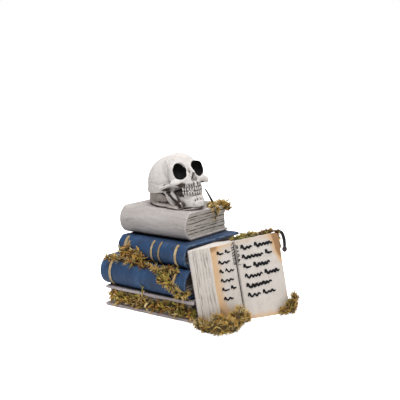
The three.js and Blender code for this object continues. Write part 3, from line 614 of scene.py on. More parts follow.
dark_bone_paint = cast_paint(
    "dark_bone_paint", (172, 162, 156), (192, 184, 180), (96, 84, 78), (44, 35, 30), (196, 188, 184),
    patch=60.0, light_share=0.7, dark_share=0.7, rough=0.62, streak=(0.5, 0.5, 2.2))
stem_paint = cast_paint(
    "stem", (42, 38, 52), (66, 56, 62), (28, 26, 42), (24, 20, 22), (120, 92, 76), patch=220.0, rough=0.5,
    worn_strength=0.2)
print("paints:", sorted(material.name for material in bpy.data.materials))

# %% [markdown]
# The cases of the books were modelled by hand before they were moulded, so their boards are a little warped
# and all their edges are soft. Each is a copy of the frame's case, rebuilt from small even faces, smoothed
# and made uneven. The dark line at the hinge of each spine is pressed in where the board meets the round of
# the spine.

# %% Casting the cases
def soft_step(values, low, high):
    share = np.clip((values - low) / (high - low), 0, 1)
    return share * share * (3 - 2 * share)


def cast_case(node):
    piece = copy_of(node, node.replace("cover", "case"))
    soften(piece, voxel=1.0, rounds=4)
    make_uneven(piece, wide=0.7, small=0.22)
    mark_edges(piece)
    finish_with(piece, "DECIMATE", ratio=0.6)
    return piece


CASES = {
    "bottom_book_cover": lilac_paint, "lower_blue_book_cover": blue_paint,
    "upper_blue_book_cover": blue_paint, "grey_book_cover": grey_paint, "open_book_cover": lilac_paint,
}
cast_cases = {node: cast_case(node) for node in CASES}
for node, paint in CASES.items():
    piece = cast_cases[node]
    grooves = stored(piece, "hollow")
    # Painted shade: each case darkens where the other books close over it.
    mark_shut_in(piece, [other for other in cast_cases.values() if other is not piece], reach=7, count=7)
    # The blue cases are also made darker on their faces that look up.
    darker_on_top = 0.3 * soft_step(normals_of(piece)[:, 2], 0.85, 0.97) if paint is blue_paint else 0
    store(piece, "hollow", np.clip(stored(piece, "hollow") + 0.5 * grooves + darker_on_top, 0, 1))
    finish_piece(piece, paint, [node])


# %% [markdown]
# The gold bands lie round the blue spines like cords under the covering. A little wobble along each keeps
# them from looking machined.

# %% Casting the bands
# Bands 2 and 3 of the upper blue book are narrower, moved along the book and made darker all over.
BAND_LOOKS = {"upper_blue_book_band_2": (0.85, -2.5, 0.35), "upper_blue_book_band_3": (0.85, -1.5, 0.25)}
USUAL_BAND = (1.25, 0, 0)


def middle_line(spots):
    """The heights along a band, and where its middle lies along the book at each."""
    levels = np.linspace(spots[:, 2].min(), spots[:, 2].max(), 9)
    reach = (levels[1] - levels[0]) * 0.75
    rows = [spots[np.abs(spots[:, 2] - level) < reach, 0] for level in levels]
    return levels, [(row.min() + row.max()) / 2 for row in rows]


for node in sorted(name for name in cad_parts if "_band_" in name):
    band = copy_of(node, node.replace("band", "cord"))
    spots = spots_of(band)
    wider, moved, extra_dark = BAND_LOOKS.get(node, USUAL_BAND)
    spots[:, 0] += (wider - 1) * (spots[:, 0] - np.interp(spots[:, 2], *middle_line(spots))) + moved * MM
    move_spots(band, spots)
    soften(band, 0.35, 3)
    make_uneven(band, 0.9, 0.35)
    mark_edges(band)
    store(band, "hollow", stored(band, "hollow") + extra_dark)
    finish_piece(band, gold_paint, [node])


# %% [markdown]
# A page block is a stack of leaves, and its three open sides show thick uneven layers with dark lines
# between them. A block starts as a cube with a fine grid on every side, so that each corner of the grid has
# three shares: along the book, across it, and up through the leaves. Code then moves each corner to its
# place in the book and presses in the lines between the leaves.

# %% A cube with a fine grid
def cut_along(piece, cuts):
    """Cuts the edges that run along each of these axes into more pieces."""
    only(piece)
    bpy.ops.object.mode_set(mode="EDIT")
    bpy.ops.mesh.select_mode(type="EDGE")
    for axis, count in cuts:
        mesh = bmesh.from_edit_mesh(piece.data)
        for edge in mesh.edges:
            way = edge.verts[0].co - edge.verts[1].co
            edge.select_set(abs(way[axis]) > 0.99 * way.length)
        bmesh.update_edit_mesh(piece.data)
        bpy.ops.mesh.subdivide(number_cuts=count)
    bpy.ops.object.mode_set(mode="OBJECT")


def gridded_cube(name, *cuts):
    """A cube of one unit, cut this many times along each axis, and its corners as shares."""
    piece = start_with(bpy.ops.mesh.primitive_cube_add, name, size=1)
    cut_along(piece, enumerate(cuts))
    return piece, spots_of(piece) + 0.5


def sway(along, rng, pace=(20, 70), size=1.0):
    """A gentle uneven wave along a length in millimetres."""
    total = np.zeros_like(along)
    for _ in range(5):
        total += np.sin(along / rng.uniform(*pace) * 2 * math.pi + rng.uniform(0, 6.3)) / 5
    return size * total


def leaf_lines(through, along, thick, layers, rng):
    """How far the edge of the leaves lies back, in millimetres, and how dark the line there is, 0 to 1."""
    depth = np.zeros_like(through)
    dark = np.zeros_like(through)
    kinds = ((layers, 0.65, (0.6, 1.1), 1.0), (layers * 2, 0.4, (0.1, 0.5), 0.7))
    for lines, width, force_range, drift in kinds:
        for index in range(1, lines):
            at = (index + rng.uniform(-0.25, 0.25)) / lines * thick + sway(along, rng, (35, 120), drift)
            force = rng.uniform(*force_range) * (0.8 + sway(along, rng, (14, 60), 0.8))
            line = np.clip(force, 0, 1) * np.exp(-((through * thick - at) / width) ** 2)
            depth = np.maximum(depth, line)
            dark = np.maximum(dark, line)
            if drift == 1.0:
                depth += rng.uniform(-0.3, 0.3) * soft_step(through * thick, at - 0.4, at + 0.4)
    return depth + 0.3, dark


print("dark lines in a block of six layers:", 2 * (6 - 1) + 1)

# %% The blocks of the closed books
def closed_block(name, book, seed):
    rng = np.random.default_rng(seed)
    half = book["thick"] / 2 - book["board"] - SEAT
    radius = (book["bulge"] ** 2 + (book["thick"] / 2) ** 2) / (2 * book["bulge"])
    piece, shares = gridded_cube(name + "_leaves", 64, 52, int(half * 5.5))
    along, across, through = shares.T
    length = book["length"] - 2 * book["overhang"]
    x = -book["length"] + book["overhang"] + along * length
    z = book["thick"] / 2 + (2 * through - 1) * half
    inside = radius - book["board"] - SEAT
    spine_y = radius - book["bulge"] - np.sqrt(inside ** 2 - (z - book["thick"] / 2) ** 2)
    depth = book["depth"] - book["overhang"]
    y = spine_y + across * (depth - spine_y)
    at_ends = (along < 0.001) | (along > 0.999)
    at_front = across > 0.999
    back, dark = leaf_lines(through, np.where(at_front, x, y), 2 * half, book["layers"], rng)
    x = x + np.where(along < 0.001, 1, -1) * at_ends * (back + sway(y, rng, (60, 120), 0.3) + 0.3)
    y = y - at_front * (back + sway(x, rng, (60, 120), 0.3) + 0.3)
    move_spots(piece, in_pile(on_book(book, np.column_stack([x, y, z]))))
    shade = book["shade"] * np.where(at_ends, soft_step(through, 0.1, 0.95), 0.35)
    store(piece, "hollow", np.clip(0.1 + shade + dark, 0, 1.1) * (at_ends | at_front))
    store(piece, "edge", (1 - dark) * (0.7 - 0.5 * shade) * (at_ends | at_front))
    weld(piece)
    finish_piece(piece, page_paint, [name + "_pages"], angle=40)


for seed, (name, book) in enumerate(BOOKS.items()):
    closed_block(name, book, seed + 3)


# %% [markdown]
# The open book leans back against the pile. Its left half fans out in bundles, and its right half turns
# away. Both faces crown in the middle and dip into the gutter. Its shape is known as a plan, seen from
# above while the book stands upright, and every point of the plan is then leaned back.

# %% The open book's sizes
OPEN_HEIGHT = 102
OPEN_COVER = 2.8
LEAN = math.radians(11.4)
FRONT_Y = -38
LEFT_FAN = 17
LEFT_BACK = np.array([OPEN_COVER + SEAT, 0])
LEFT_FRONT = LEFT_BACK + [24, LEFT_FAN]
GUTTER = LEFT_FRONT + [13, 42]
RIGHT_TURN = math.radians(26.5)
RIGHT_ALONG = np.array([math.sin(RIGHT_TURN), math.cos(RIGHT_TURN)])
RIGHT_OUT = np.array([math.cos(RIGHT_TURN), -math.sin(RIGHT_TURN)])
LEFT_OUT = np.array([42, -13]) / math.hypot(42, 13)
RIGHT_PAGE = 72
RIGHT_STACK = 19
PAGE_CROWN = 2.2
GUTTER_DIP = 2.5
BUNDLES = 6
CORNER_ROUND = 7
PAGES = {
    "left": dict(out=LEFT_OUT, width=42, stack=28, stains=(0.75, 0.6, 0.5), margin=15, foot=18, dip=7,
                 seed=21),
    "right": dict(out=RIGHT_OUT, width=RIGHT_PAGE, stack=RIGHT_STACK, stains=(0.3, 0.6, 0.45), margin=8,
                  foot=9, dip=4, seed=22),
}
print("gutter of the open book, mm from its back corner:", GUTTER - LEFT_BACK)

# %% The open book's plan
BACK_BEND = 0.78


def tail_reach(book):
    """How far a book's tail pushes the foot of the leaning open book out."""
    touch = min(book["low"] + book["thick"], OPEN_HEIGHT * math.cos(LEAN))
    turn = math.tan(math.radians(book["turn"]))
    ends = [book["corner"][0] - (y - book["corner"][1]) * turn for y in (FRONT_Y, FRONT_Y + GUTTER[1] + 12)]
    return max(ends) + touch * math.tan(LEAN)


FOOT_X = max(tail_reach(book) for book in BOOKS.values()) + SEAT


def lean_back(plan, up):
    """Places points of the plan, this far up the upright book, in the pile."""
    x, y = np.asarray(plan, float).T
    return np.column_stack([
        x * math.cos(LEAN) - up * math.sin(LEAN) + FOOT_X,
        y + FRONT_Y,
        x * math.sin(LEAN) + up * math.cos(LEAN),
    ])


def page_face(side, share, lift=0.0):
    """The plan of a page's face, from its outer edge at 0 to the gutter at 1."""
    share = np.asarray(share, float)
    outer = LEFT_FRONT if side == "left" else GUTTER + RIGHT_PAGE * RIGHT_ALONG
    inner = GUTTER + np.array([0, -SEAT / 2 if side == "left" else SEAT / 2])
    rise = PAGE_CROWN * np.sin(math.pi * share) - GUTTER_DIP * soft_step(share, 0.8, 1) + lift
    return outer + share[:, None] * (inner - outer) + rise[:, None] * PAGES[side]["out"]


def page_back(side, share):
    """The plan of the face that lies against the cover."""
    if side == "left":
        return LEFT_BACK + share[:, None] * np.array([0, GUTTER[1] - SEAT / 2])
    outer = GUTTER + RIGHT_PAGE * RIGHT_ALONG - RIGHT_STACK * RIGHT_OUT
    bend = GUTTER - RIGHT_STACK * RIGHT_OUT
    inner = np.array([LEFT_BACK[0], GUTTER[1] + SEAT / 2])
    first = outer + np.minimum(share / BACK_BEND, 1)[:, None] * (bend - outer)
    return first + np.clip((share - BACK_BEND) / (1 - BACK_BEND), 0, 1)[:, None] * (inner - bend)


def page_top(side, share):
    """The height of a page's top edge, which is rounded off at the right page's far corner."""
    if side == "left":
        return np.full_like(share, OPEN_HEIGHT)
    past = np.clip(CORNER_ROUND - share * RIGHT_PAGE, 0, CORNER_ROUND)
    return OPEN_HEIGHT - CORNER_ROUND + np.sqrt(CORNER_ROUND ** 2 - past ** 2)


print("foot of the open book, mm from the pile's corner:", round(FOOT_X, 1))

# %% The two halves of the open book
def open_half(side):
    page = PAGES[side]
    rng = np.random.default_rng(page["seed"])
    piece, shares = gridded_cube(f"open_book_{side}_leaves", 70, 84, 110)
    inward, out, up = shares.T
    at_edge = inward < 0.001
    at_top = up > 0.999
    on_page = out > 0.999
    run = np.where(at_edge, up * OPEN_HEIGHT, inward * page["width"])
    back, dark = leaf_lines(out, run, page["stack"], BUNDLES, rng)
    plan = page_back(side, inward) * (1 - out)[:, None] + page_face(side, inward) * out[:, None]
    buckle = sway(up * OPEN_HEIGHT, rng, (45, 110), 0.8) * soft_step(1 - inward, 0.2, 1)
    plan += page["out"] * (buckle * out * (inward < 0.97))[:, None]
    if side == "left":
        bundle = out * BUNDLES
        step = (np.floor(bundle) + soft_step(bundle % 1, 0.72, 1) - bundle) / BUNDLES
        plan[:, 1] += at_edge * (LEFT_FAN * step * 0.8 + back * 0.9)
    else:
        plan -= (at_edge * back)[:, None] * RIGHT_ALONG
    floor_up = -plan[:, 0] * math.tan(LEAN)
    top = page_top(side, inward) - at_top * back
    move_spots(piece, in_pile(lean_back(plan, floor_up + up * (top - floor_up))))
    grime = 0.18 + 0.12 * sway(run, rng, (12, 50), 1.0)
    open_face = at_edge | at_top
    from_edge = inward * page["width"]
    # Painted shade: the face of the page darkens into the gutter.
    gutter_shade = on_page * soft_step(from_edge, page["width"] - page["dip"], page["width"])
    store(piece, "hollow", np.clip(grime + 0.48 * dark, 0, 1.1) * open_face + 0.6 * gutter_shade)
    store(piece, "edge", (1 - dark) * 0.6 * open_face)
    at_margin = from_edge + sway(up * OPEN_HEIGHT, rng, (20, 60), 1.5)
    ways_in = (at_margin / page["margin"], up * OPEN_HEIGHT / page["foot"], (1 - up) * OPEN_HEIGHT / 8)
    stain = sum(share * np.exp(-way_in ** 2) for share, way_in in zip(page["stains"], ways_in))
    if side == "right":
        stain = stain + 1.4 * np.exp(-(at_margin / 13) ** 2) * soft_step(up, 0.55, 0.85)
    store(piece, "stain", on_page * np.clip(stain, 0, 1.4))
    weld(piece)
    return finish_piece(piece, parchment_paint, [f"open_book_{side}_pages"], angle=40)


leaves = {side: open_half(side) for side in PAGES}


# %% [markdown]
# The skull is modelled in its own frame, looking straight ahead, because a face is symmetrical and easiest
# to shape that way. x points to its left, -y forward and z up, and the origin lies between the ear
# openings. At the end one matrix sets it on the grey book, turned to the side and tipped a little forward.

# %% The skull's place
SKULL_SPOT = (-51.5, 37, 179.4)
skull_turn = (Matrix.Rotation(math.radians(70), 4, "Z") @ Matrix.Rotation(math.radians(-8), 4, "X")
              @ Matrix.Rotation(math.radians(-5), 4, "Y"))
skull_place = Matrix.Translation((Vector(SKULL_SPOT) + pile_corner) * MM) @ skull_turn
print("skull set at, mm:", [round(value / MM, 1) for value in skull_place.translation])

# %% Balls and bars to model with
def ball(name, middle, halves, segments=40):
    """A ball stretched to these half sizes, in millimetres."""
    piece = start_with(bpy.ops.mesh.primitive_uv_sphere_add, name, segments=segments,
                       ring_count=segments * 2 // 3, radius=1)
    move_spots(piece, (spots_of(piece) * halves + middle) * MM)
    return piece


def smooth_path(points, shares):
    """Points along a smooth curve through the given ones."""
    points = np.array(points, float)
    last = len(points) - 1
    place = np.clip(shares, 0, 1) * last
    start = np.minimum(place.astype(int), last - 1)
    t = (place - start)[:, None]
    ring = np.vstack([2 * points[0] - points[1], points, 2 * points[-1] - points[-2]])
    a, b, c, d = ring[start], ring[start + 1], ring[start + 2], ring[start + 3]
    bend = (2 * a - 5 * b + 4 * c - d) * t ** 2
    twist = (3 * b - a - 3 * c + d) * t ** 3
    return 0.5 * (2 * b + (c - a) * t + bend + twist)


def stalk(name, points, width, height=None, sides=10, cuts=24, up=(0, 0, 1)):
    """A closed bar along a smooth path. Its half width and height may change along it."""
    piece = start_with(bpy.ops.mesh.primitive_cylinder_add, name, vertices=sides, radius=1, depth=1,
                       end_fill_type="TRIFAN")
    cut_along(piece, [(2, cuts)])
    spots = spots_of(piece)
    share = spots[:, 2] + 0.5
    line = smooth_path(points, share)
    ahead = smooth_path(points, share + 0.01) - smooth_path(points, share - 0.01)
    ahead /= np.linalg.norm(ahead, axis=1)[:, None]
    side = np.cross(ahead, np.array(up, float))
    side /= np.linalg.norm(side, axis=1)[:, None]
    halves = np.atleast_1d(width), np.atleast_1d(width if height is None else height)
    for way, around, half in zip((side, np.cross(side, ahead)), spots.T, halves):
        half = np.interp(share, np.linspace(0, 1, len(half)), half)
        line = line + way * around[:, None] * half[:, None]
    move_spots(piece, line * MM)
    return piece


def cut_away(piece, cutter):
    """Takes a closed shape out of a piece."""
    finish_with(piece, "BOOLEAN", object=cutter, operation="DIFFERENCE", solver="EXACT")
    bpy.data.objects.remove(cutter)


print("halfway round a corner:", smooth_path([(0, 0, 0), (1, 0, 0), (1, 1, 0)], np.array([0.25])))

# %% [markdown]
# Each bone of the cranium starts as a stretched ball: the brain case, the forehead, the brows, the rims of
# the sockets, the cheekbones, the muzzle and the small knobs behind the ears. Bars make the cheek arches
# and the bridge of the nose. A voxel remesh melts them into one closed skin, and smoothing lets one bone
# flow into the next.

# %% The bones of the cranium
both_sides = (1, -1)
bones = [
    ball("vault", (0, 9.5, -1), (38, 44, 41), 64),
    ball("forehead", (0, -9, 14.5), (27, 25.5, 28), 56),
    ball("muzzle", (0, -26, -3), (17.5, 19.5, 19)),
    ball("occiput", (-14, 28, -6), (20, 18, 12)),
    ball("occiput", (14, 28, -6), (20, 18, 12)),
    stalk("nose_bridge", [(0, -31, 24), (0, -36.5, 19), (0, -42, 13.5), (0, -44.5, 10)], (3.4, 2.8, 3.2),
          2.6, up=(1, 0, 0)),
]
for side in both_sides:
    bones += [
        ball("brow", (14.5 * side, -26, 22), (12, 9, 6)),
        ball("orbit_rim", (24 * side, -24.5, 13.5), (4.5, 7, 13)),
        ball("cheekbone", (20 * side, -28, 0.8), (11.5, 7.5, 6)),
        ball("mastoid", (26 * side, 9, -12), (5, 6, 7)),
        stalk("nose_side", [(2.5 * side, -41, 13), (5 * side, -42, 7), (6 * side, -43, 0),
                            (4 * side, -44.5, -3)], (1.3, 1.5, 1.6, 1.5), up=(1, 0, 0)),
        stalk("cheek_arch", [(22 * side, -31, -0.5), (29 * side, -21, -1), (32.6 * side, -11, -3),
                             (32 * side, 0, -5.5), (26 * side, 7, -6)], (2, 2.2, 2.2, 1.8), 2.7,
              up=(side, 0, 0)),
    ]
bones += [
    ball("far_cheek", (26.6, -29.2, -1.8), (6.2, 5.4, 6.2)),
    ball("near_cheek", (-25, -28.5, 1.4), (4.6, 4.4, 3.6)),
]
vault_spots = spots_of(bones[0])
vault_spots[:, 0] *= 1 - 0.24 * soft_step(-vault_spots[:, 1] / MM, -20, 30)
move_spots(bones[0], vault_spots)
cranium = join_pieces("cranium_bone", bones)
soften(cranium, 0.9, 5)
print("cranium before its openings:", len(cranium.data.polygons), "faces")

# %% [markdown]
# The eye sockets, the nose opening, the hollows under the cheekbones and the flat base are cut out with
# closed shapes, as one would cut clay. Then the skin is rebuilt once more, so that the rims are as soft as
# the rest. The sockets are square-shouldered, so their cutter is a ball that is pushed out towards its
# corners.

# %% The shapes of the openings
SOCKETS = {
    1: dict(middle=(15.9, -36, 17.2), halves=(11.5, 16, 11.4), tilt=8, power=2.25),
    -1: dict(middle=(-15.3, -36, 18.9), halves=(10.1, 16, 12.0), tilt=5, power=1.9),
}


def square_up(piece, power):
    """Pushes a unit ball's outline, seen from the front, towards its corners."""
    spots = spots_of(piece) / MM
    reach = np.hypot(spots[:, 0], spots[:, 2])
    square = (np.abs(spots[:, 0]) ** power + np.abs(spots[:, 2]) ** power) ** (1 / power)
    spots[:, (0, 2)] *= np.where(square > 1e-6, reach / np.maximum(square, 1e-6), 1)[:, None]
    move_spots(piece, spots * MM)


def socket_cutter(side, grow=0.0, shift=(0, 0, 0)):
    """The closed shape of a socket, a little larger or moved where asked."""
    socket = SOCKETS[side]
    cutter = ball("socket", (0, 0, 0), (1, 1, 1), 48)
    square_up(cutter, socket["power"])
    halves = [half + grow for half in socket["halves"]]
    turn = Matrix.Rotation(math.radians(5 * side), 4, "Z")
    tilt = Matrix.Rotation(math.radians(socket["tilt"]), 4, "Y")
    place = Matrix.Translation((Vector(socket["middle"]) + Vector(shift)) * MM)
    cutter.data.transform(place @ turn @ tilt @ Matrix.Diagonal((*halves, 1)))
    return cutter


def nose_cutter(grow=0.0):
    """The pear-shaped opening: a narrow top over a wide foot."""
    lobes = (((0, -44, 8.3), (2.6, 8, 4.5)), ((2.6, -45, 2.6), (2.9, 8, 4.6)),
             ((-2.6, -45, 2.6), (2.9, 8, 4.6)))
    parts = [ball("nose", middle, [half + grow for half in halves]) for middle, halves in lobes]
    opening = join_pieces("nose_opening", parts)
    finish_with(opening, "REMESH", mode="VOXEL", voxel_size=0.6 * MM)
    return opening


print("socket widths, mm:", [2 * socket["halves"][0] for socket in SOCKETS.values()])

# %% Cutting the openings
VAULT_BASE = -10.5
PALATE = -6.6
SLAB = 80

for y, level, width, depth in ((0, VAULT_BASE, 120, 160), (-80, PALATE, 80, 134)):
    slab = start_with(bpy.ops.mesh.primitive_cube_add, "slab", size=1)
    move_spots(slab, (spots_of(slab) * (width, depth, SLAB) + (0, y, level - SLAB / 2)) * MM)
    cut_away(cranium, slab)
cut_away(cranium, nose_cutter())
for side in both_sides:
    cut_away(cranium, socket_cutter(side))
    lift = 0 if side > 0 else 2.6
    cut_away(cranium, ball("cheek_hollow", (25 * side, -22, -12 + lift), (9.5, 15, 8.4)))
cut_away(cranium, ball("cheek_front", (-23.5, -32.5, -7.2), (9, 8, 6.2)))
soften(cranium, 0.6, 4)
print("cranium with its openings:", len(cranium.data.polygons), "faces")

# %% [markdown]
# The small forms are carved in afterwards: the line along the temple, the seams between the plates of the
# brain case, the pull of the brows and the ridges of the tooth roots. `carve` presses a soft groove along a
# path, or raises a ridge where the depth is negative.

# %% Carving
def carve(piece, path, width, depth, mirror=False):
    spots = spots_of(piece) / MM
    normals = normals_of(piece)
    for side in both_sides if mirror else (1,):
        line = smooth_path(np.array(path, float) * [side, 1, 1], np.linspace(0, 1, 10 * len(path)))
        nearest = np.full(len(spots), 1e9)
        for spot in line:
            nearest = np.minimum(nearest, ((spots - spot) ** 2).sum(1))
        spots -= normals * (depth * np.exp(-nearest / width ** 2))[:, None]
    move_spots(piece, spots * MM)


TEMPLE_LINE = [(18.5, -1.4, 33), (22.9, -11.2, 28.6), (24.3, -14.8, 23.7), (25.2, -17.1, 18),
               (25.2, -16, 12.9), (24.7, -14.4, 5.5)]
CRANIUM_MARKS = (
    (TEMPLE_LINE, 1.7, 0.7),
    ([(x - 0.3, y - 3, z) for x, y, z in TEMPLE_LINE], 2.0, -0.6),
    ([(37.5, 22, 5), (36.8, 11.6, 4.9), (35, 2.6, 1.6), (31.6, -4.9, 2.3), (25.4, -13.4, 4.2)], 0.9, 0.8),
    ([(30, -8, -1), (29, -14, 2), (26.5, -21, 3)], 1.4, 0.9),
    ([(0, -4, 41), (13, -4, 39), (22, -5, 33)], 0.8, 0.4),
    ([(3.4, -30.3, 28.8), (2.2, -32, 25), (1.6, -33.5, 21.9)], 1.0, 0.55),
    ([(6, -31, 27), (12, -28, 31), (19, -24, 30)], 1.8, -0.6),
    ([(9, -34, 5), (14, -35, 3), (20, -34, 4)], 1.2, -0.5),
    ([(12, -39, 3), (13.5, -37, -2), (14.5, -35, -6)], 1.3, 0.9),
    ([(22, -33, 1.5), (27.5, -25, 1.5), (31, -14, -0.5)], 1.2, -0.5),
)
for path, width, depth in CRANIUM_MARKS:
    carve(cranium, path, width, depth, mirror=True)
carve(cranium, [(0, -2, 41), (0, 16, 40), (1, 34, 32)], 0.8, 0.35)
for root in range(7):
    at = math.radians(5.6 + 11.2 * root)
    for turn, amount in ((at, -0.7), (at + math.radians(5.6), 1.0)):
        x = 16.6 * math.sin(turn)
        y = -45 + 19 * (1 - math.cos(turn))
        rib = [(x, y, -7.5), (x * 0.97, y + 0.6, -4), (x * 0.93, y + 1.6, 0)]
        carve(cranium, rib, 0.9, amount, mirror=True)
carve(cranium, [(3.2, -37.5, 15.5), (3.5, -37.2, 15.8)], 2.2, -1.6, mirror=True)
make_uneven(cranium, 0.9, 0.5)
print("cranium:", len(cranium.data.polygons), "faces")


# %% [markdown]
# Teeth are small rounded crowns, a little narrower at the gum. One crown is modelled, and each copy is set
# along the dental arch with its own small turn, size and height, on a ridge that closes the row behind. The
# bite rises a little from the front teeth to the back ones.

# %% The rows of teeth
BITE = -13.4
BITE_RISE = 0.17
TOOTH_SPREAD = math.radians(64)
TEETH = 12
ARCH_HALF = 16.4
ARCH_FRONT = -44.8
ARCH_DEPTH = 20


def arch_spot(angle, inset=0.0):
    return ((ARCH_HALF - inset) * math.sin(angle), ARCH_FRONT + inset + ARCH_DEPTH * (1 - math.cos(angle)))


crown = start_with(bpy.ops.mesh.primitive_cube_add, "crown", size=1)
finish_with(crown, "SUBSURF", levels=3, render_levels=3)
crown_spots = spots_of(crown) * 1.45
crown_spots[:, 0] *= 1 - 0.3 * soft_step(crown_spots[:, 2], -0.4, 0.7)
move_spots(crown, crown_spots)


def teeth_row(name, side, height, ridge_low, ridge_high, seed):
    dice = random.Random(seed)
    parts = []
    for index in range(TEETH):
        angle = TOOTH_SPREAD * (2 * index / (TEETH - 1) - 1)
        x, y = arch_spot(angle, 0.3 * dice.random())
        tooth = own_copy(crown.data, "tooth")
        size = (3.25 * dice.uniform(0.93, 1.04), 3.9, side * height * dice.uniform(0.93, 1.03), 1)
        turn = Matrix.Rotation(angle * 0.8 + math.radians(dice.uniform(-6, 6)), 4, "Z")
        tilt = Matrix.Rotation(math.radians(dice.uniform(-4, 4)), 4, "Y")
        level = BITE + BITE_RISE * (y - ARCH_FRONT) + side * (height / 2 + 0.2)
        tooth.data.transform(Matrix.Translation((x, y, level)) @ turn @ tilt @ Matrix.Diagonal(size))
        tooth.data.transform(Matrix.Scale(MM, 4))
        parts.append(tooth)
    middle = (ridge_low + ridge_high) / 2
    ridge = [(*arch_spot(TOOTH_SPREAD * share, 2.9), middle) for share in (-1, -0.6, -0.2, 0.2, 0.6, 1)]
    parts.append(stalk(name + "_ridge", ridge, 2.2, (ridge_high - ridge_low) / 2))
    row = join_pieces(name, parts)
    weld(row)
    print(name, len(row.data.polygons), "faces")
    return row


upper_row = teeth_row("upper_crowns", 1, 4.9, -12.6, -5.5, 5)
lower_row = teeth_row("lower_crowns", -1, 5.0, -24, -14.6, 6)
bpy.data.objects.remove(crown)

# %% [markdown]
# The lower jaw and the neck under the skull keep the frame's shape, but the jaw's body is drawn in towards
# the teeth, as bone is. Two ridges run up each side to the hinge, with a deep hollow between them, and the
# roots of the lower teeth show as ribs on the front.

# %% The lower jaw
RIDGE_BACK = [(27, -4, -10.5), (24.6, -5, -21), (24.4, -14, -29.5), (22.2, -26, -36)]
RIDGE_FRONT = [(26.2, -20, -11), (24.6, -25.5, -20.5), (22.6, -33, -27)]
HOLLOW = [(24.8, -10, -13.3), (24.4, -16.5, -21.1), (23.4, -23.8, -27), (22.3, -29.7, -32)]
FAR_FRONT = np.array((0.824, -0.566, 0))
jaw = copy_of("mandible", "jaw_bone")
jaw.data.transform(skull_place.inverted())
ridges = [stalk("back_ridge", np.array(RIDGE_BACK) * [side, 1, 1], (1.2, 1.5, 1.7, 1.2), up=(1, 0, 0))
          for side in both_sides]
jaw = join_pieces("jaw_bone", [jaw, *ridges])
soften(jaw, 0.6, 4)
jaw_spots = spots_of(jaw) / MM
drawn_in = 1 - 0.17 * soft_step(jaw_spots[:, 2], -30, -18) * soft_step(-jaw_spots[:, 1], 18, 30)
jaw_spots[:, 0] *= drawn_in
jaw_spots[:, 1] = -20 + (jaw_spots[:, 1] + 20) * (1 - (1 - drawn_in) * 0.6)
too_far = np.clip(jaw_spots @ FAR_FRONT - 32.5, 0, None) * soft_step(jaw_spots[:, 2], -36, -31)
jaw_spots -= 0.85 * too_far[:, None] * FAR_FRONT
move_spots(jaw, jaw_spots * MM)
for path, width, depth in (
    (RIDGE_BACK, 1.1, -0.7),
    (RIDGE_FRONT, 1.3, -0.8),
    (HOLLOW, 2.6, 2.4),
    ([(19, -38, -32), (14, -44, -32.5), (8, -48, -33), (0, -49.5, -34)], 1.6, -0.6),
    ([(18, -38, -26.5), (11, -45, -27), (4, -47.5, -27)], 2.2, 0.5),
):
    carve(jaw, path, width, depth, mirror=True)
carve(jaw, [(-24, -29.5, -12), (-22.6, -33, -18.5), (-21, -36, -24)], 2.6, 2.2)
for root in range(6):
    at = math.radians(8 + 11.2 * root)
    x = 17 * math.sin(at)
    y = -46.5 + 20 * (1 - math.cos(at))
    carve(jaw, [(x, y, -20), (x * 1.03, y - 0.8, -24), (x * 1.05, y - 1.5, -27)], 0.9, 0.8, mirror=True)
jaw.data.transform(skull_place)
make_uneven(jaw, 1.0, 0.6)
print("jaw:", len(jaw.data.polygons), "faces")

# %% The neck, and the skull's place on the book
NECK_LEFT = np.array((-0.814, -0.581))
NECK_FRONT = np.array((0.581, -0.814))
neck = copy_of("skull_plinth", "neck_casting")
soften(neck, 0.9, 5)
book_top = (grey["low"] + grey["thick"] + 0.1) * MM
neck_spots = spots_of(neck)
outwards = neck_spots[:, :2] - neck_spots[:, :2].mean(0)
far_left = soft_step(outwards @ NECK_LEFT, 0, 26 * MM)
in_front = soft_step(outwards @ NECK_FRONT, -6 * MM, 18 * MM)
at_foot = 1 - soft_step(neck_spots[:, 2], book_top + 2.5 * MM, book_top + 7 * MM)
far_right = soft_step(outwards @ -NECK_LEFT, 4 * MM, 24 * MM) * (1 - at_foot)
neck_spots[:, :2] += (far_left * 4.5 + far_right * 6)[:, None] * NECK_LEFT * MM
neck_spots[:, :2] += (at_foot * in_front)[:, None] * NECK_FRONT * 9 * MM
move_spots(neck, neck_spots)
make_uneven(neck, 1.6, 0.8)
for piece in (cranium, upper_row, lower_row):
    piece.data.transform(skull_place)
    weld(piece)
for piece in (jaw, neck):
    spots = spots_of(piece)
    spots[:, 2] = np.maximum(spots[:, 2], book_top)
    move_spots(piece, spots)
print("neck:", len(neck.data.polygons), "faces")

# %% [markdown]
# The wash runs into everything that is shut in: the gaps between teeth, under the cheeks, behind the jaw.
# There the same dark is also painted shade. Counting how many directions are blocked close by gives just
# that mask. The sockets and the inside of the nose were painted, up to a sharp rim, so the corners that lie
# within their cutters are marked as well.

# %% Where the skull's wash and painted shade settle
def inside_of(cutter, piece):
    """Marks the corners of a piece that lie within a closed shape, which is then thrown away."""
    cutter.data.transform(skull_place)
    weld(cutter)
    shell = BVHTree.FromObject(cutter, bpy.context.evaluated_depsgraph_get())
    within = []
    for spot in spots_of(piece):
        near, normal, _, _ = shell.find_nearest(Vector(spot))
        within.append((Vector(spot) - near).dot(normal) < 0)
    bpy.data.objects.remove(cutter)
    return np.array(within, float)


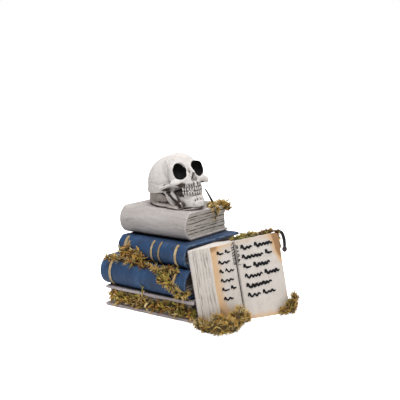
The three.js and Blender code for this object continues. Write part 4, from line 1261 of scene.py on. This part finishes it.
skull_parts = (cranium, upper_row, lower_row, jaw, neck)
for piece in skull_parts:
    others = [other for other in skull_parts if other is not piece]
    mark_edges(piece)
    grooves = stored(piece, "hollow")
    mark_shut_in(piece, others)
    store(piece, "hollow", np.clip(stored(piece, "hollow") + 0.4 * grooves, 0, 1))
black = inside_of(socket_cutter(1, 0.8, (0, 1, 0)), cranium)
black = np.maximum(black, inside_of(socket_cutter(-1, 0.55, (-0.25, 2.0, -1.5)), cranium))
in_socket = inside_of(socket_cutter(1, 0.3), cranium) + inside_of(socket_cutter(-1, 0.3), cranium)
in_nose = inside_of(nose_cutter(0.3), cranium)
store(cranium, "black", spread(black, neighbours_of(cranium), 1))
store(cranium, "edge", stored(cranium, "edge") * (1 - black))
bare = (1 - np.maximum(black, 0.5 * in_socket)) * (1 - 0.55 * in_nose)
store(cranium, "hollow", stored(cranium, "hollow") * bare)
print("painted black:", int(black.sum()), "corners")

# %% Where more wash and painted shade are rubbed in
# Partly wash, partly painted shade: under the cheek arches and cheekbones, beside the muzzle and the nose.
CRANIUM_WASH_AND_SHADE = (
    ([(31, 2, -6), (30, -5, -6.8), (28.5, -15, -5.5), (25, -25, -4.5), (20, -32, -4.5)], 2.6, 0.75),
    ([(24, -10, -9), (22, -20, -8), (19, -28, -7)], 4.0, 0.6),
    ([(3.2, -37.5, 15.5), (4, -38, 14.5)], 2.6, -0.9),
    ([(12, -37, 6), (10, -40, 1), (9, -42, -5)], 3.2, 0.12),
    ([(13, -35, -1.6), (15, -34, -7), (17, -30, -9)], 3.2, 0.3),
    ([(3, -45, -3), (8, -42, -3.5), (13, -37, -3.5)], 2.6, 0.42),
    ([(9, -40.2, -2.6), (9.3, -40, -3.4)], 1.1, 0.6),
    ([(3, -44.6, -2.4), (3.2, -44.6, -3.4)], 1.1, 0.6),
    ([(1.8, -45, 13), (4.2, -44.5, 10), (5.4, -44, 7.5)], 1.1, 0.7),
    ([(31, 3, -4.5), (33, 9, -5)], 2.0, 0.4),
    (TEMPLE_LINE, 4.0, 0.1),
    ([(24.5, -21, 6), (24, -18, 1)], 2.2, 0.2),
)
# Partly wash, partly painted shade: in the hollow between the jaw's ridges, under the teeth and behind.
JAW_WASH_AND_SHADE = (
    (HOLLOW, 3.3, 0.8),
    ([(19, -36, -30), (11, -44.5, -31), (0, -48, -31)], 5.0, 0.2),
    ([(16, -40, -24), (9, -46, -25), (2, -48, -24.5)], 2.5, 0.16),
    ([(17, -38, -19.5), (10, -45, -20), (0, -48.5, -20)], 1.6, 0.45),
    ([(24, -1, -14), (23, -1, -24), (22, -5, -33)], 2.2, 0.4),
    (RIDGE_BACK, 1.2, -0.7),
    ([(26.2, -20, -11), (24.6, -25, -20.5), (23.4, -29, -25)], 1.0, -0.5),
    ([(22, -26, -36), (17, -38, -35.5), (8, -47, -35.5), (0, -49, -35.5)], 1.3, -0.4),
)
# Painted shade, on the near side only: the gap between the jaw's front ridge and the teeth.
NEAR_JAW_SHADE = (
    ([(-22.5, -23.5, -10), (-21.5, -25.5, -14), (-21.2, -27, -18), (-21, -29, -23)], 3.0, 1.0),
    ([(-22, -30, -12), (-21.5, -32.5, -18), (-20, -34.5, -25)], 3.2, 0.9),
    ([(-21.5, -35.5, -28), (-20.5, -37, -30)], 2.6, 0.35),
)
# Painted shade, on the near side only: under the near cheekbone and along the near side of the nose.
NEAR_CHEEK_SHADE = (
    ([(-24, -30, -3), (-20.5, -33.5, -1.5), (-17, -36, -2.5)], 2.6, 0.7),
    ([(-29, -30, -5), (-26, -33.5, -5), (-22, -35, -4.5), (-18, -35, -5)], 2.8, 1.0),
    ([(-28, -29, -7.5), (-24, -32, -7.5), (-19, -33, -7.5)], 2.6, 0.8),
    ([(-0.5, -41.5, 11.5), (-0.5, -39.5, 8.5), (-1.5, -38, 5)], 2.1, 0.8),
)
print("paths of wash:", len(CRANIUM_WASH_AND_SHADE + JAW_WASH_AND_SHADE + NEAR_JAW_SHADE + NEAR_CHEEK_SHADE))

# %% Rubbing the wash and painted shade in
def rub_in(piece, wash_and_shade_paths, sides=both_sides):
    """Adds to the wash and painted shade along paths of the skull's own frame, or wipes them off."""
    turned = np.array(skull_place.inverted())
    spots = (spots_of(piece) @ turned[:3, :3].T + turned[:3, 3]) / MM
    values = stored(piece, "hollow")
    for path, width, amount in wash_and_shade_paths:
        for side in sides:
            line = smooth_path(np.array(path, float) * [side, 1, 1], np.linspace(0, 1, 6 * len(path)))
            nearest = np.min([((spots - spot) ** 2).sum(1) for spot in line], axis=0)
            values += amount * np.exp(-nearest / width ** 2)
    store(piece, "hollow", np.clip(values, 0, 1.2) * (1 - stored(piece, "black")))


rub_in(cranium, CRANIUM_WASH_AND_SHADE)
rub_in(cranium, NEAR_CHEEK_SHADE, sides=(1,))
rub_in(jaw, JAW_WASH_AND_SHADE)
rub_in(jaw, NEAR_JAW_SHADE, sides=(1,))
# Painted shade: the top of the neck, under the skull, is made darker.
rise = spots_of(neck)[:, 2]
store(neck, "hollow", stored(neck, "hollow") + 0.35 * soft_step(rise, rise.max() - 9 * MM, rise.max()))
# Painted shadow: the grey book darkens where the jaw and the neck close over it.
grey_case = cast_cases["grey_book_cover"]
before = stored(grey_case, "hollow")
mark_shut_in(grey_case, (jaw, neck), reach=7, count=7)
store(grey_case, "hollow", np.maximum(before, stored(grey_case, "hollow")))
finish_with(cranium, "DECIMATE", ratio=0.75)
for piece, paint, node in ((cranium, bone_paint, "cranium"), (upper_row, tooth_paint, "upper_teeth"),
                           (lower_row, tooth_paint, "lower_teeth"), (jaw, bone_paint, "mandible"),
                           (neck, dark_bone_paint, "skull_plinth")):
    finish_piece(piece, paint, [node])


# %% [markdown]
# Dried moss is a mat of short crossing stems with loose ends that stand up. Each clump has a lumpy core on
# the frame's clump, and some hundred strands grow out of it, bent and turned at random. A strand is
# modelled a few times, thin and with few faces, and then copied.

# %% Moss colours
HUES = ((0.0, (60, 38, 14)), (0.2, (112, 74, 28)), (0.4, (190, 142, 60)), (0.54, (232, 190, 98)),
        (0.7, (166, 164, 60)), (0.86, (246, 222, 164)), (1.0, (160, 92, 48)))
moss_paint, tree, place = new_paint("moss")
hues = add_node(tree, "ValToRGB", {"Fac": attribute(tree, "tint")})
stops = hues.color_ramp.elements
while len(stops) < len(HUES):
    stops.new(0.5)
for stop, (spot, shade) in zip(stops, HUES):
    stop.position = spot
    stop.color = paint_colour(*shade)
mottled = use_group(tree, brushed, Place=place, Body=hues.outputs["Color"], Light=paint_colour(186, 160, 84),
                    Dark=paint_colour(66, 44, 16), Patch_scale=190.0, Light_share=0.25, Dark_share=0.3)
# Painted shade: the moss goes dark deep inside the mat.
colour = laid_over(tree, place, mottled, "hollow", 300.0, 0.25, 0.9, 0.4, 0.92, (36, 24, 12))
surface(tree, place, colour, 900.0, (0.2, 0.9, 0.75, 0.95), 0.6, 0.6)
print("moss colours:", len(stops))

# %% Strands to copy
strand_dice = np.random.default_rng(40)


def one_strand(name, girth, flat):
    """A tapering stem or leaf of one unit, with a random bend and curl."""
    curl = strand_dice.uniform(0.06, 0.22)
    turns = strand_dice.uniform(0.3, 0.9)
    start = strand_dice.uniform(0, 6.3)
    bend = strand_dice.uniform(0.1, 0.5)
    shares = np.linspace(0, 1, 6)
    points = [(curl * share * math.cos(start + turns * 6.3 * share) + bend * share ** 2,
               curl * share * math.sin(start + turns * 6.3 * share), share - 0.25 * bend * share ** 2)
              for share in shares]
    strand = stalk(name, points, girth, girth * flat, sides=4, cuts=4, up=(0, 1, 0.01))
    rise = spots_of(strand)[:, 2] / MM
    # Painted shade: each strand darkens towards its root, inside the mat.
    store(strand, "hollow", 0.95 * np.clip(1 - rise / rise.max(), 0, 1) ** (1.8 if flat < 1 else 1))
    strand.data.transform(Matrix.Scale(1 / MM, 4))
    return strand


strands = [one_strand(f"strand_{index}", np.array((0.06, 0.055, 0.045, 0.015)), 1) for index in range(9)]
blades = [one_strand(f"blade_{index}", np.array((0.08, 0.14, 0.12, 0.04)), 0.4) for index in range(7)]
print("strand:", len(strands[0].data.polygons), "faces")


# %% The tints of the clumps
TINTS = (0.2, 0.4, 0.54, 0.7, 0.86, 0.97)
BROWN = (0.19, 0.22, 0.2, 0.08, 0.18, 0.13)
OLIVE = (0.1, 0.2, 0.2, 0.26, 0.16, 0.08)
GOLD = (0.02, 0.2, 0.44, 0.04, 0.26, 0.04)
TAN = (0.06, 0.28, 0.3, 0.12, 0.18, 0.06)
FRESH = (0.0, 0.0, 0.2, 0.45, 0.35, 0.0)
STRAW = (0.0, 0.12, 0.44, 0.04, 0.38, 0.02)
print("shares of each tint:", [round(sum(mix), 2) for mix in (BROWN, OLIVE, GOLD, TAN, FRESH, STRAW)])

# %% Growing a clump
FLOOR_GAP = 0.3 * MM


def plant(kinds, root, way, reach, wide, tint, dice):
    """A copy of one of these strands at a root, along a way, with its own size and tint."""
    copy = own_copy(kinds[dice.integers(len(kinds))].data, "strand")
    way = Vector(way).normalized()
    turn = way.to_track_quat("Z", "Y").to_matrix().to_4x4() @ Matrix.Rotation(dice.uniform(0, 6.3), 4, "Z")
    place = Matrix.Translation(Vector(root) - way * 1.2 * MM) @ turn
    copy.data.transform(place @ Matrix.Diagonal((wide * MM, wide * MM, reach * MM, 1)))
    store(copy, "tint", np.full(len(copy.data.vertices), tint + dice.uniform(-0.07, 0.05)))
    return copy


def grow_moss(node, tufts, leaves, length, shrink, drop, stout, squeeze, shares, seed):
    """A lumpy core over the frame's clump, tufts of strands that stand out of it, and leaves over them."""
    dice = np.random.default_rng(seed)
    core = copy_of(node, node.replace("moss", "moss_clump"))
    soften(core, 1.1, 4)
    move_spots(core, spots_of(core) - (normals_of(core) * shrink + (0, 0, drop)) * MM)
    make_uneven(core, 1.2, 1.8)
    spots = spots_of(core)
    fixed = np.array((*spots.max(0)[:2], spots.min(0)[2]))
    spots = fixed + squeeze * (spots - fixed)
    move_spots(core, spots)
    normals = normals_of(core)
    store(core, "tint", np.full(len(spots), TINTS[np.argmax(shares)]))
    # Painted shade: the core is dark all over, as deep inside the mat.
    store(core, "hollow", np.full(len(spots), 0.9))
    parts = [core]
    members = [tuft for tuft in range(tufts) for _ in range(dice.integers(5, 11))]
    middles = dice.integers(len(spots), size=tufts)
    lying = dice.random(tufts) < 0.4
    leans = dice.normal(0, 0.6, (tufts, 3)) + (0, 0, 0.3)
    shades = dice.choice(TINTS, size=tufts, p=shares)
    for tuft in members:
        index = middles[tuft]
        way = normals[index] * (0.35 if lying[tuft] else 1) + leans[tuft] + dice.normal(0, 0.28, 3)
        reach = length * (dice.uniform(1.1, 1.9) if lying[tuft] else dice.uniform(0.5, 1.2))
        root = spots[index] + dice.normal(0, 0.9 * MM, 3)
        parts.append(plant(strands, root, way, reach, stout * dice.uniform(5, 9), shades[tuft], dice))
    for _ in range(leaves):
        index = dice.integers(len(spots))
        along = np.cross(normals[index], dice.normal(0, 1, 3))
        way = along / np.linalg.norm(along) + normals[index] * dice.uniform(-0.2, 0.8)
        root = spots[index] + normals[index] * dice.uniform(0.2, 1.8) * MM
        reach = length * dice.uniform(0.9, 1.7)
        tint = dice.choice(TINTS, p=shares)
        parts.append(plant(blades, root, way, reach, stout * dice.uniform(8, 13), tint, dice))
    for root, way, reach, tint in SPRIGS.get(node, ()):
        parts.append(plant(blades, np.array(root) * MM, way, reach, 9, tint, dice))
    clump = join_pieces(core.name, parts)
    spots = spots_of(clump)
    spots[:, 2] = np.maximum(spots[:, 2], FLOOR_GAP)
    move_spots(clump, spots)
    finish_piece(clump, moss_paint, [node])


print("strands to copy:", len(strands), "and blades:", len(blades))

# %% The clumps
SPRIGS = {"base_moss": (
    ((-50.7, -61.5, 22), (0.05, -0.12, 1), 24, 0.7), ((-50, -63, 34), (0.5, -0.1, 1), 9, 0.54),
    ((-50, -63.5, 38), (-0.4, -0.1, 1), 9, 0.7), ((-51, -61.5, 22), (-0.1, -0.1, 1), 14, 0.86),
)}
CLUMPS = {
    "spine_moss": (100, 180, 8, 2.4, 0, 0.85, (1, 1, 0.82), BROWN),
    "lower_spine_moss": (90, 150, 6.8, 3.0, 0, 0.85, (1, 1, 1), OLIVE),
    "base_moss": (150, 260, 7.5, 3.2, 0, 0.9, (0.965, 1, 1), OLIVE),
    "foot_moss": (300, 130, 7, 2.2, 0, 0.6, (1, 1, 1), GOLD),
    "corner_moss": (150, 90, 5, 2.6, 0, 0.55, (1, 1, 0.95), TAN),
    "top_moss": (80, 80, 5, 1.2, 0, 0.75, (1, 0.86, 0.92), STRAW),
    "ledge_moss": (90, 80, 3.6, 1.2, 0, 0.6, (1, 1, 1), FRESH),
    "edge_moss": (60, 40, 3.4, 1.5, 1.0, 0.6, (1, 1, 1), BROWN),
}
for seed, (node, recipe) in enumerate(CLUMPS.items()):
    grow_moss(node, *recipe, seed + 50)
for strand in strands + blades:
    bpy.data.objects.remove(strand)

# %% [markdown]
# Two bare stems are left: a thin one behind the chin, and a hooked one with a bud over the open book's far
# edge.

# %% The stems
def on_right_page(along, back, up):
    plan = GUTTER + RIGHT_PAGE * along * RIGHT_ALONG - RIGHT_STACK * back * RIGHT_OUT
    return lean_back([plan], OPEN_HEIGHT * up)[0]


def on_grey_board(along, deep, up):
    return on_book(grey, (-grey["length"] * along, grey["depth"] * deep, grey["thick"] * up))[0]


def stem(name, node, spots, widths, bud=None):
    spots = [spot + np.array(pile_corner) for spot in spots]
    parts = [stalk(name, spots, widths, sides=8, cuts=20, up=(1, 0.1, 0))]
    if bud:
        parts.append(ball("bud", spots[-1], bud, 20))
    piece = join_pieces(name, parts)
    make_uneven(piece, 0, 0.3)
    mark_edges(piece)
    finish_piece(piece, stem_paint, [node])


BY_THE_CHIN = ((0.1, 0.76, 1.06), (0.11, 0.67, 1.36), (0.1, 0.55, 1.64))
OVER_THE_EDGE = ((1.03, 0.2, 1.02), (1.09, 0.05, 0.97), (1.11, 0, 0.9), (1.11, 0, 0.82), (1.09, 0, 0.74))
stem("skull_twig", "skull_stem", [on_grey_board(*spot) for spot in BY_THE_CHIN], (1.9, 1.4, 0.9))
stem("page_twig", "page_stem", [on_right_page(*spot) for spot in OVER_THE_EDGE], (1.6, 2.3, 2.6, 2.4, 2.2),
     bud=(3.6, 3.6, 4.2))

# %% [markdown]
# The pages carry even rows of plain brush strokes that spell nothing, each with one tall bend and then a
# run of small waves. Each stroke is a thin ribbon on the page's face, so it keeps a crisp border at any
# distance.

# %% Brush strokes on a page
ink_paint = cast_paint(
    "ink", (16, 15, 20), (38, 36, 42), (10, 10, 14), (8, 8, 10), (48, 46, 54), patch=200.0,
    worn_strength=0.2, rough=0.6, gleam=0.2)
outs = {side: page["out"] for side, page in PAGES.items()}
PAGE_NORMALS = {side: Vector((x * math.cos(LEAN), y, x * math.sin(LEAN))) for side, (x, y) in outs.items()}
surfaces = {side: BVHTree.FromObject(piece, bpy.context.evaluated_depsgraph_get())
            for side, piece in leaves.items()}


def on_page(side, inward, up, lift):
    """Spots on a page's face. inward runs from its outer edge to the gutter, in millimetres."""
    plan = page_face(side, inward / PAGES[side]["width"], 6)
    above = (lean_back(plan, up) + np.array(pile_corner)) * MM
    found = [surfaces[side].ray_cast(Vector(spot), -PAGE_NORMALS[side])[0] or Vector(spot) for spot in above]
    return np.array([spot + PAGE_NORMALS[side] * lift * MM for spot in found]) / MM


def brush_stroke(side, inward, up, width):
    """A ribbon along these spots on a page, narrow at both ends."""
    spots = on_page(side, np.array(inward, float), np.array(up, float), 0.35)
    return stalk("stroke", spots, (0.6 * width, width, 0.8 * width, width, 0.5 * width), 0.3, sides=6,
                 cuts=len(spots) * 3, up=PAGE_NORMALS[side])


def scribble(side, corners, wave, width, dice):
    """A stroke through these corners, with small up and down strokes where two of them lie far apart."""
    points = [corners[0]]
    for start, stop in zip(corners, corners[1:]):
        steps = int(abs(stop[0] - start[0]) / 2.6)
        for step in range(1, steps if steps > 2 else 1):
            share = step / steps
            swing = wave * (-1) ** step * dice.uniform(0.4, 1.2)
            points.append((start[0] + share * (stop[0] - start[0]) + dice.uniform(-0.4, 0.4),
                           start[1] + share * (stop[1] - start[1]) + swing))
        points.append(stop)
    return brush_stroke(side, *zip(*points), width)


print("ink:", ink_paint.name)

# %% The rows of strokes
ROWS = {
    "left": dict(top=90, pitch=12.5, bold=1.5, wave=1.4, tall=3.5, runs=(
        ((9, 19), (22, 31)), ((9, 28),), ((9, 15), (18, 33)), ((9, 30),), ((9, 20), (23, 32)), ((9, 24),))),
    "right": dict(top=90, pitch=13.5, bold=2.0, wave=1.8, tall=4.5, runs=(
        ((64, 47), (43, 13)), ((64, 31), (27, 16)), ((64, 53), (49, 22)), ((64, 37), (33, 8)), ((64, 24),),
        ((64, 45), (41, 20)))),
}
strokes = []
line_dice = np.random.default_rng(17)
for side, rows in ROWS.items():
    for index, runs in enumerate(rows["runs"]):
        up = rows["top"] - index * rows["pitch"]
        for start, stop in runs:
            way = 1 if stop > start else -1
            peak, foot = start + 1.6 * way, start + 3.6 * way
            corners = ((start, up), (peak, up + rows["tall"]), (foot, up), (stop, up))
            width = rows["bold"] * line_dice.uniform(0.85, 1.15)
            strokes.append(scribble(side, corners, rows["wave"], width, line_dice))
for index in range(15):
    up = 97 - 1.9 * index + line_dice.uniform(-0.5, 0.5)
    lean = line_dice.uniform(-3, 3)
    strokes.append(brush_stroke("left", (33.5, 37.5, 41), (up, up + lean / 2, up + lean), 0.4))
    strokes.append(brush_stroke("right", (71, 69, 67), (up - 1, up - 1 - lean / 2, up - lean), 0.4))
# Painted shade: a dark ink line runs down the fold of the gutter.
gutter_shade_line = np.linspace(97, 12, 22)
strokes.append(brush_stroke("left", 41 + line_dice.uniform(-0.3, 0.3, 22), gutter_shade_line, 0.6))
ink = join_pieces("page_strokes", strokes)
finish_piece(ink, ink_paint)

# %% [markdown]
# Last, the script says that it is ready.

# %% The end
print("ready")
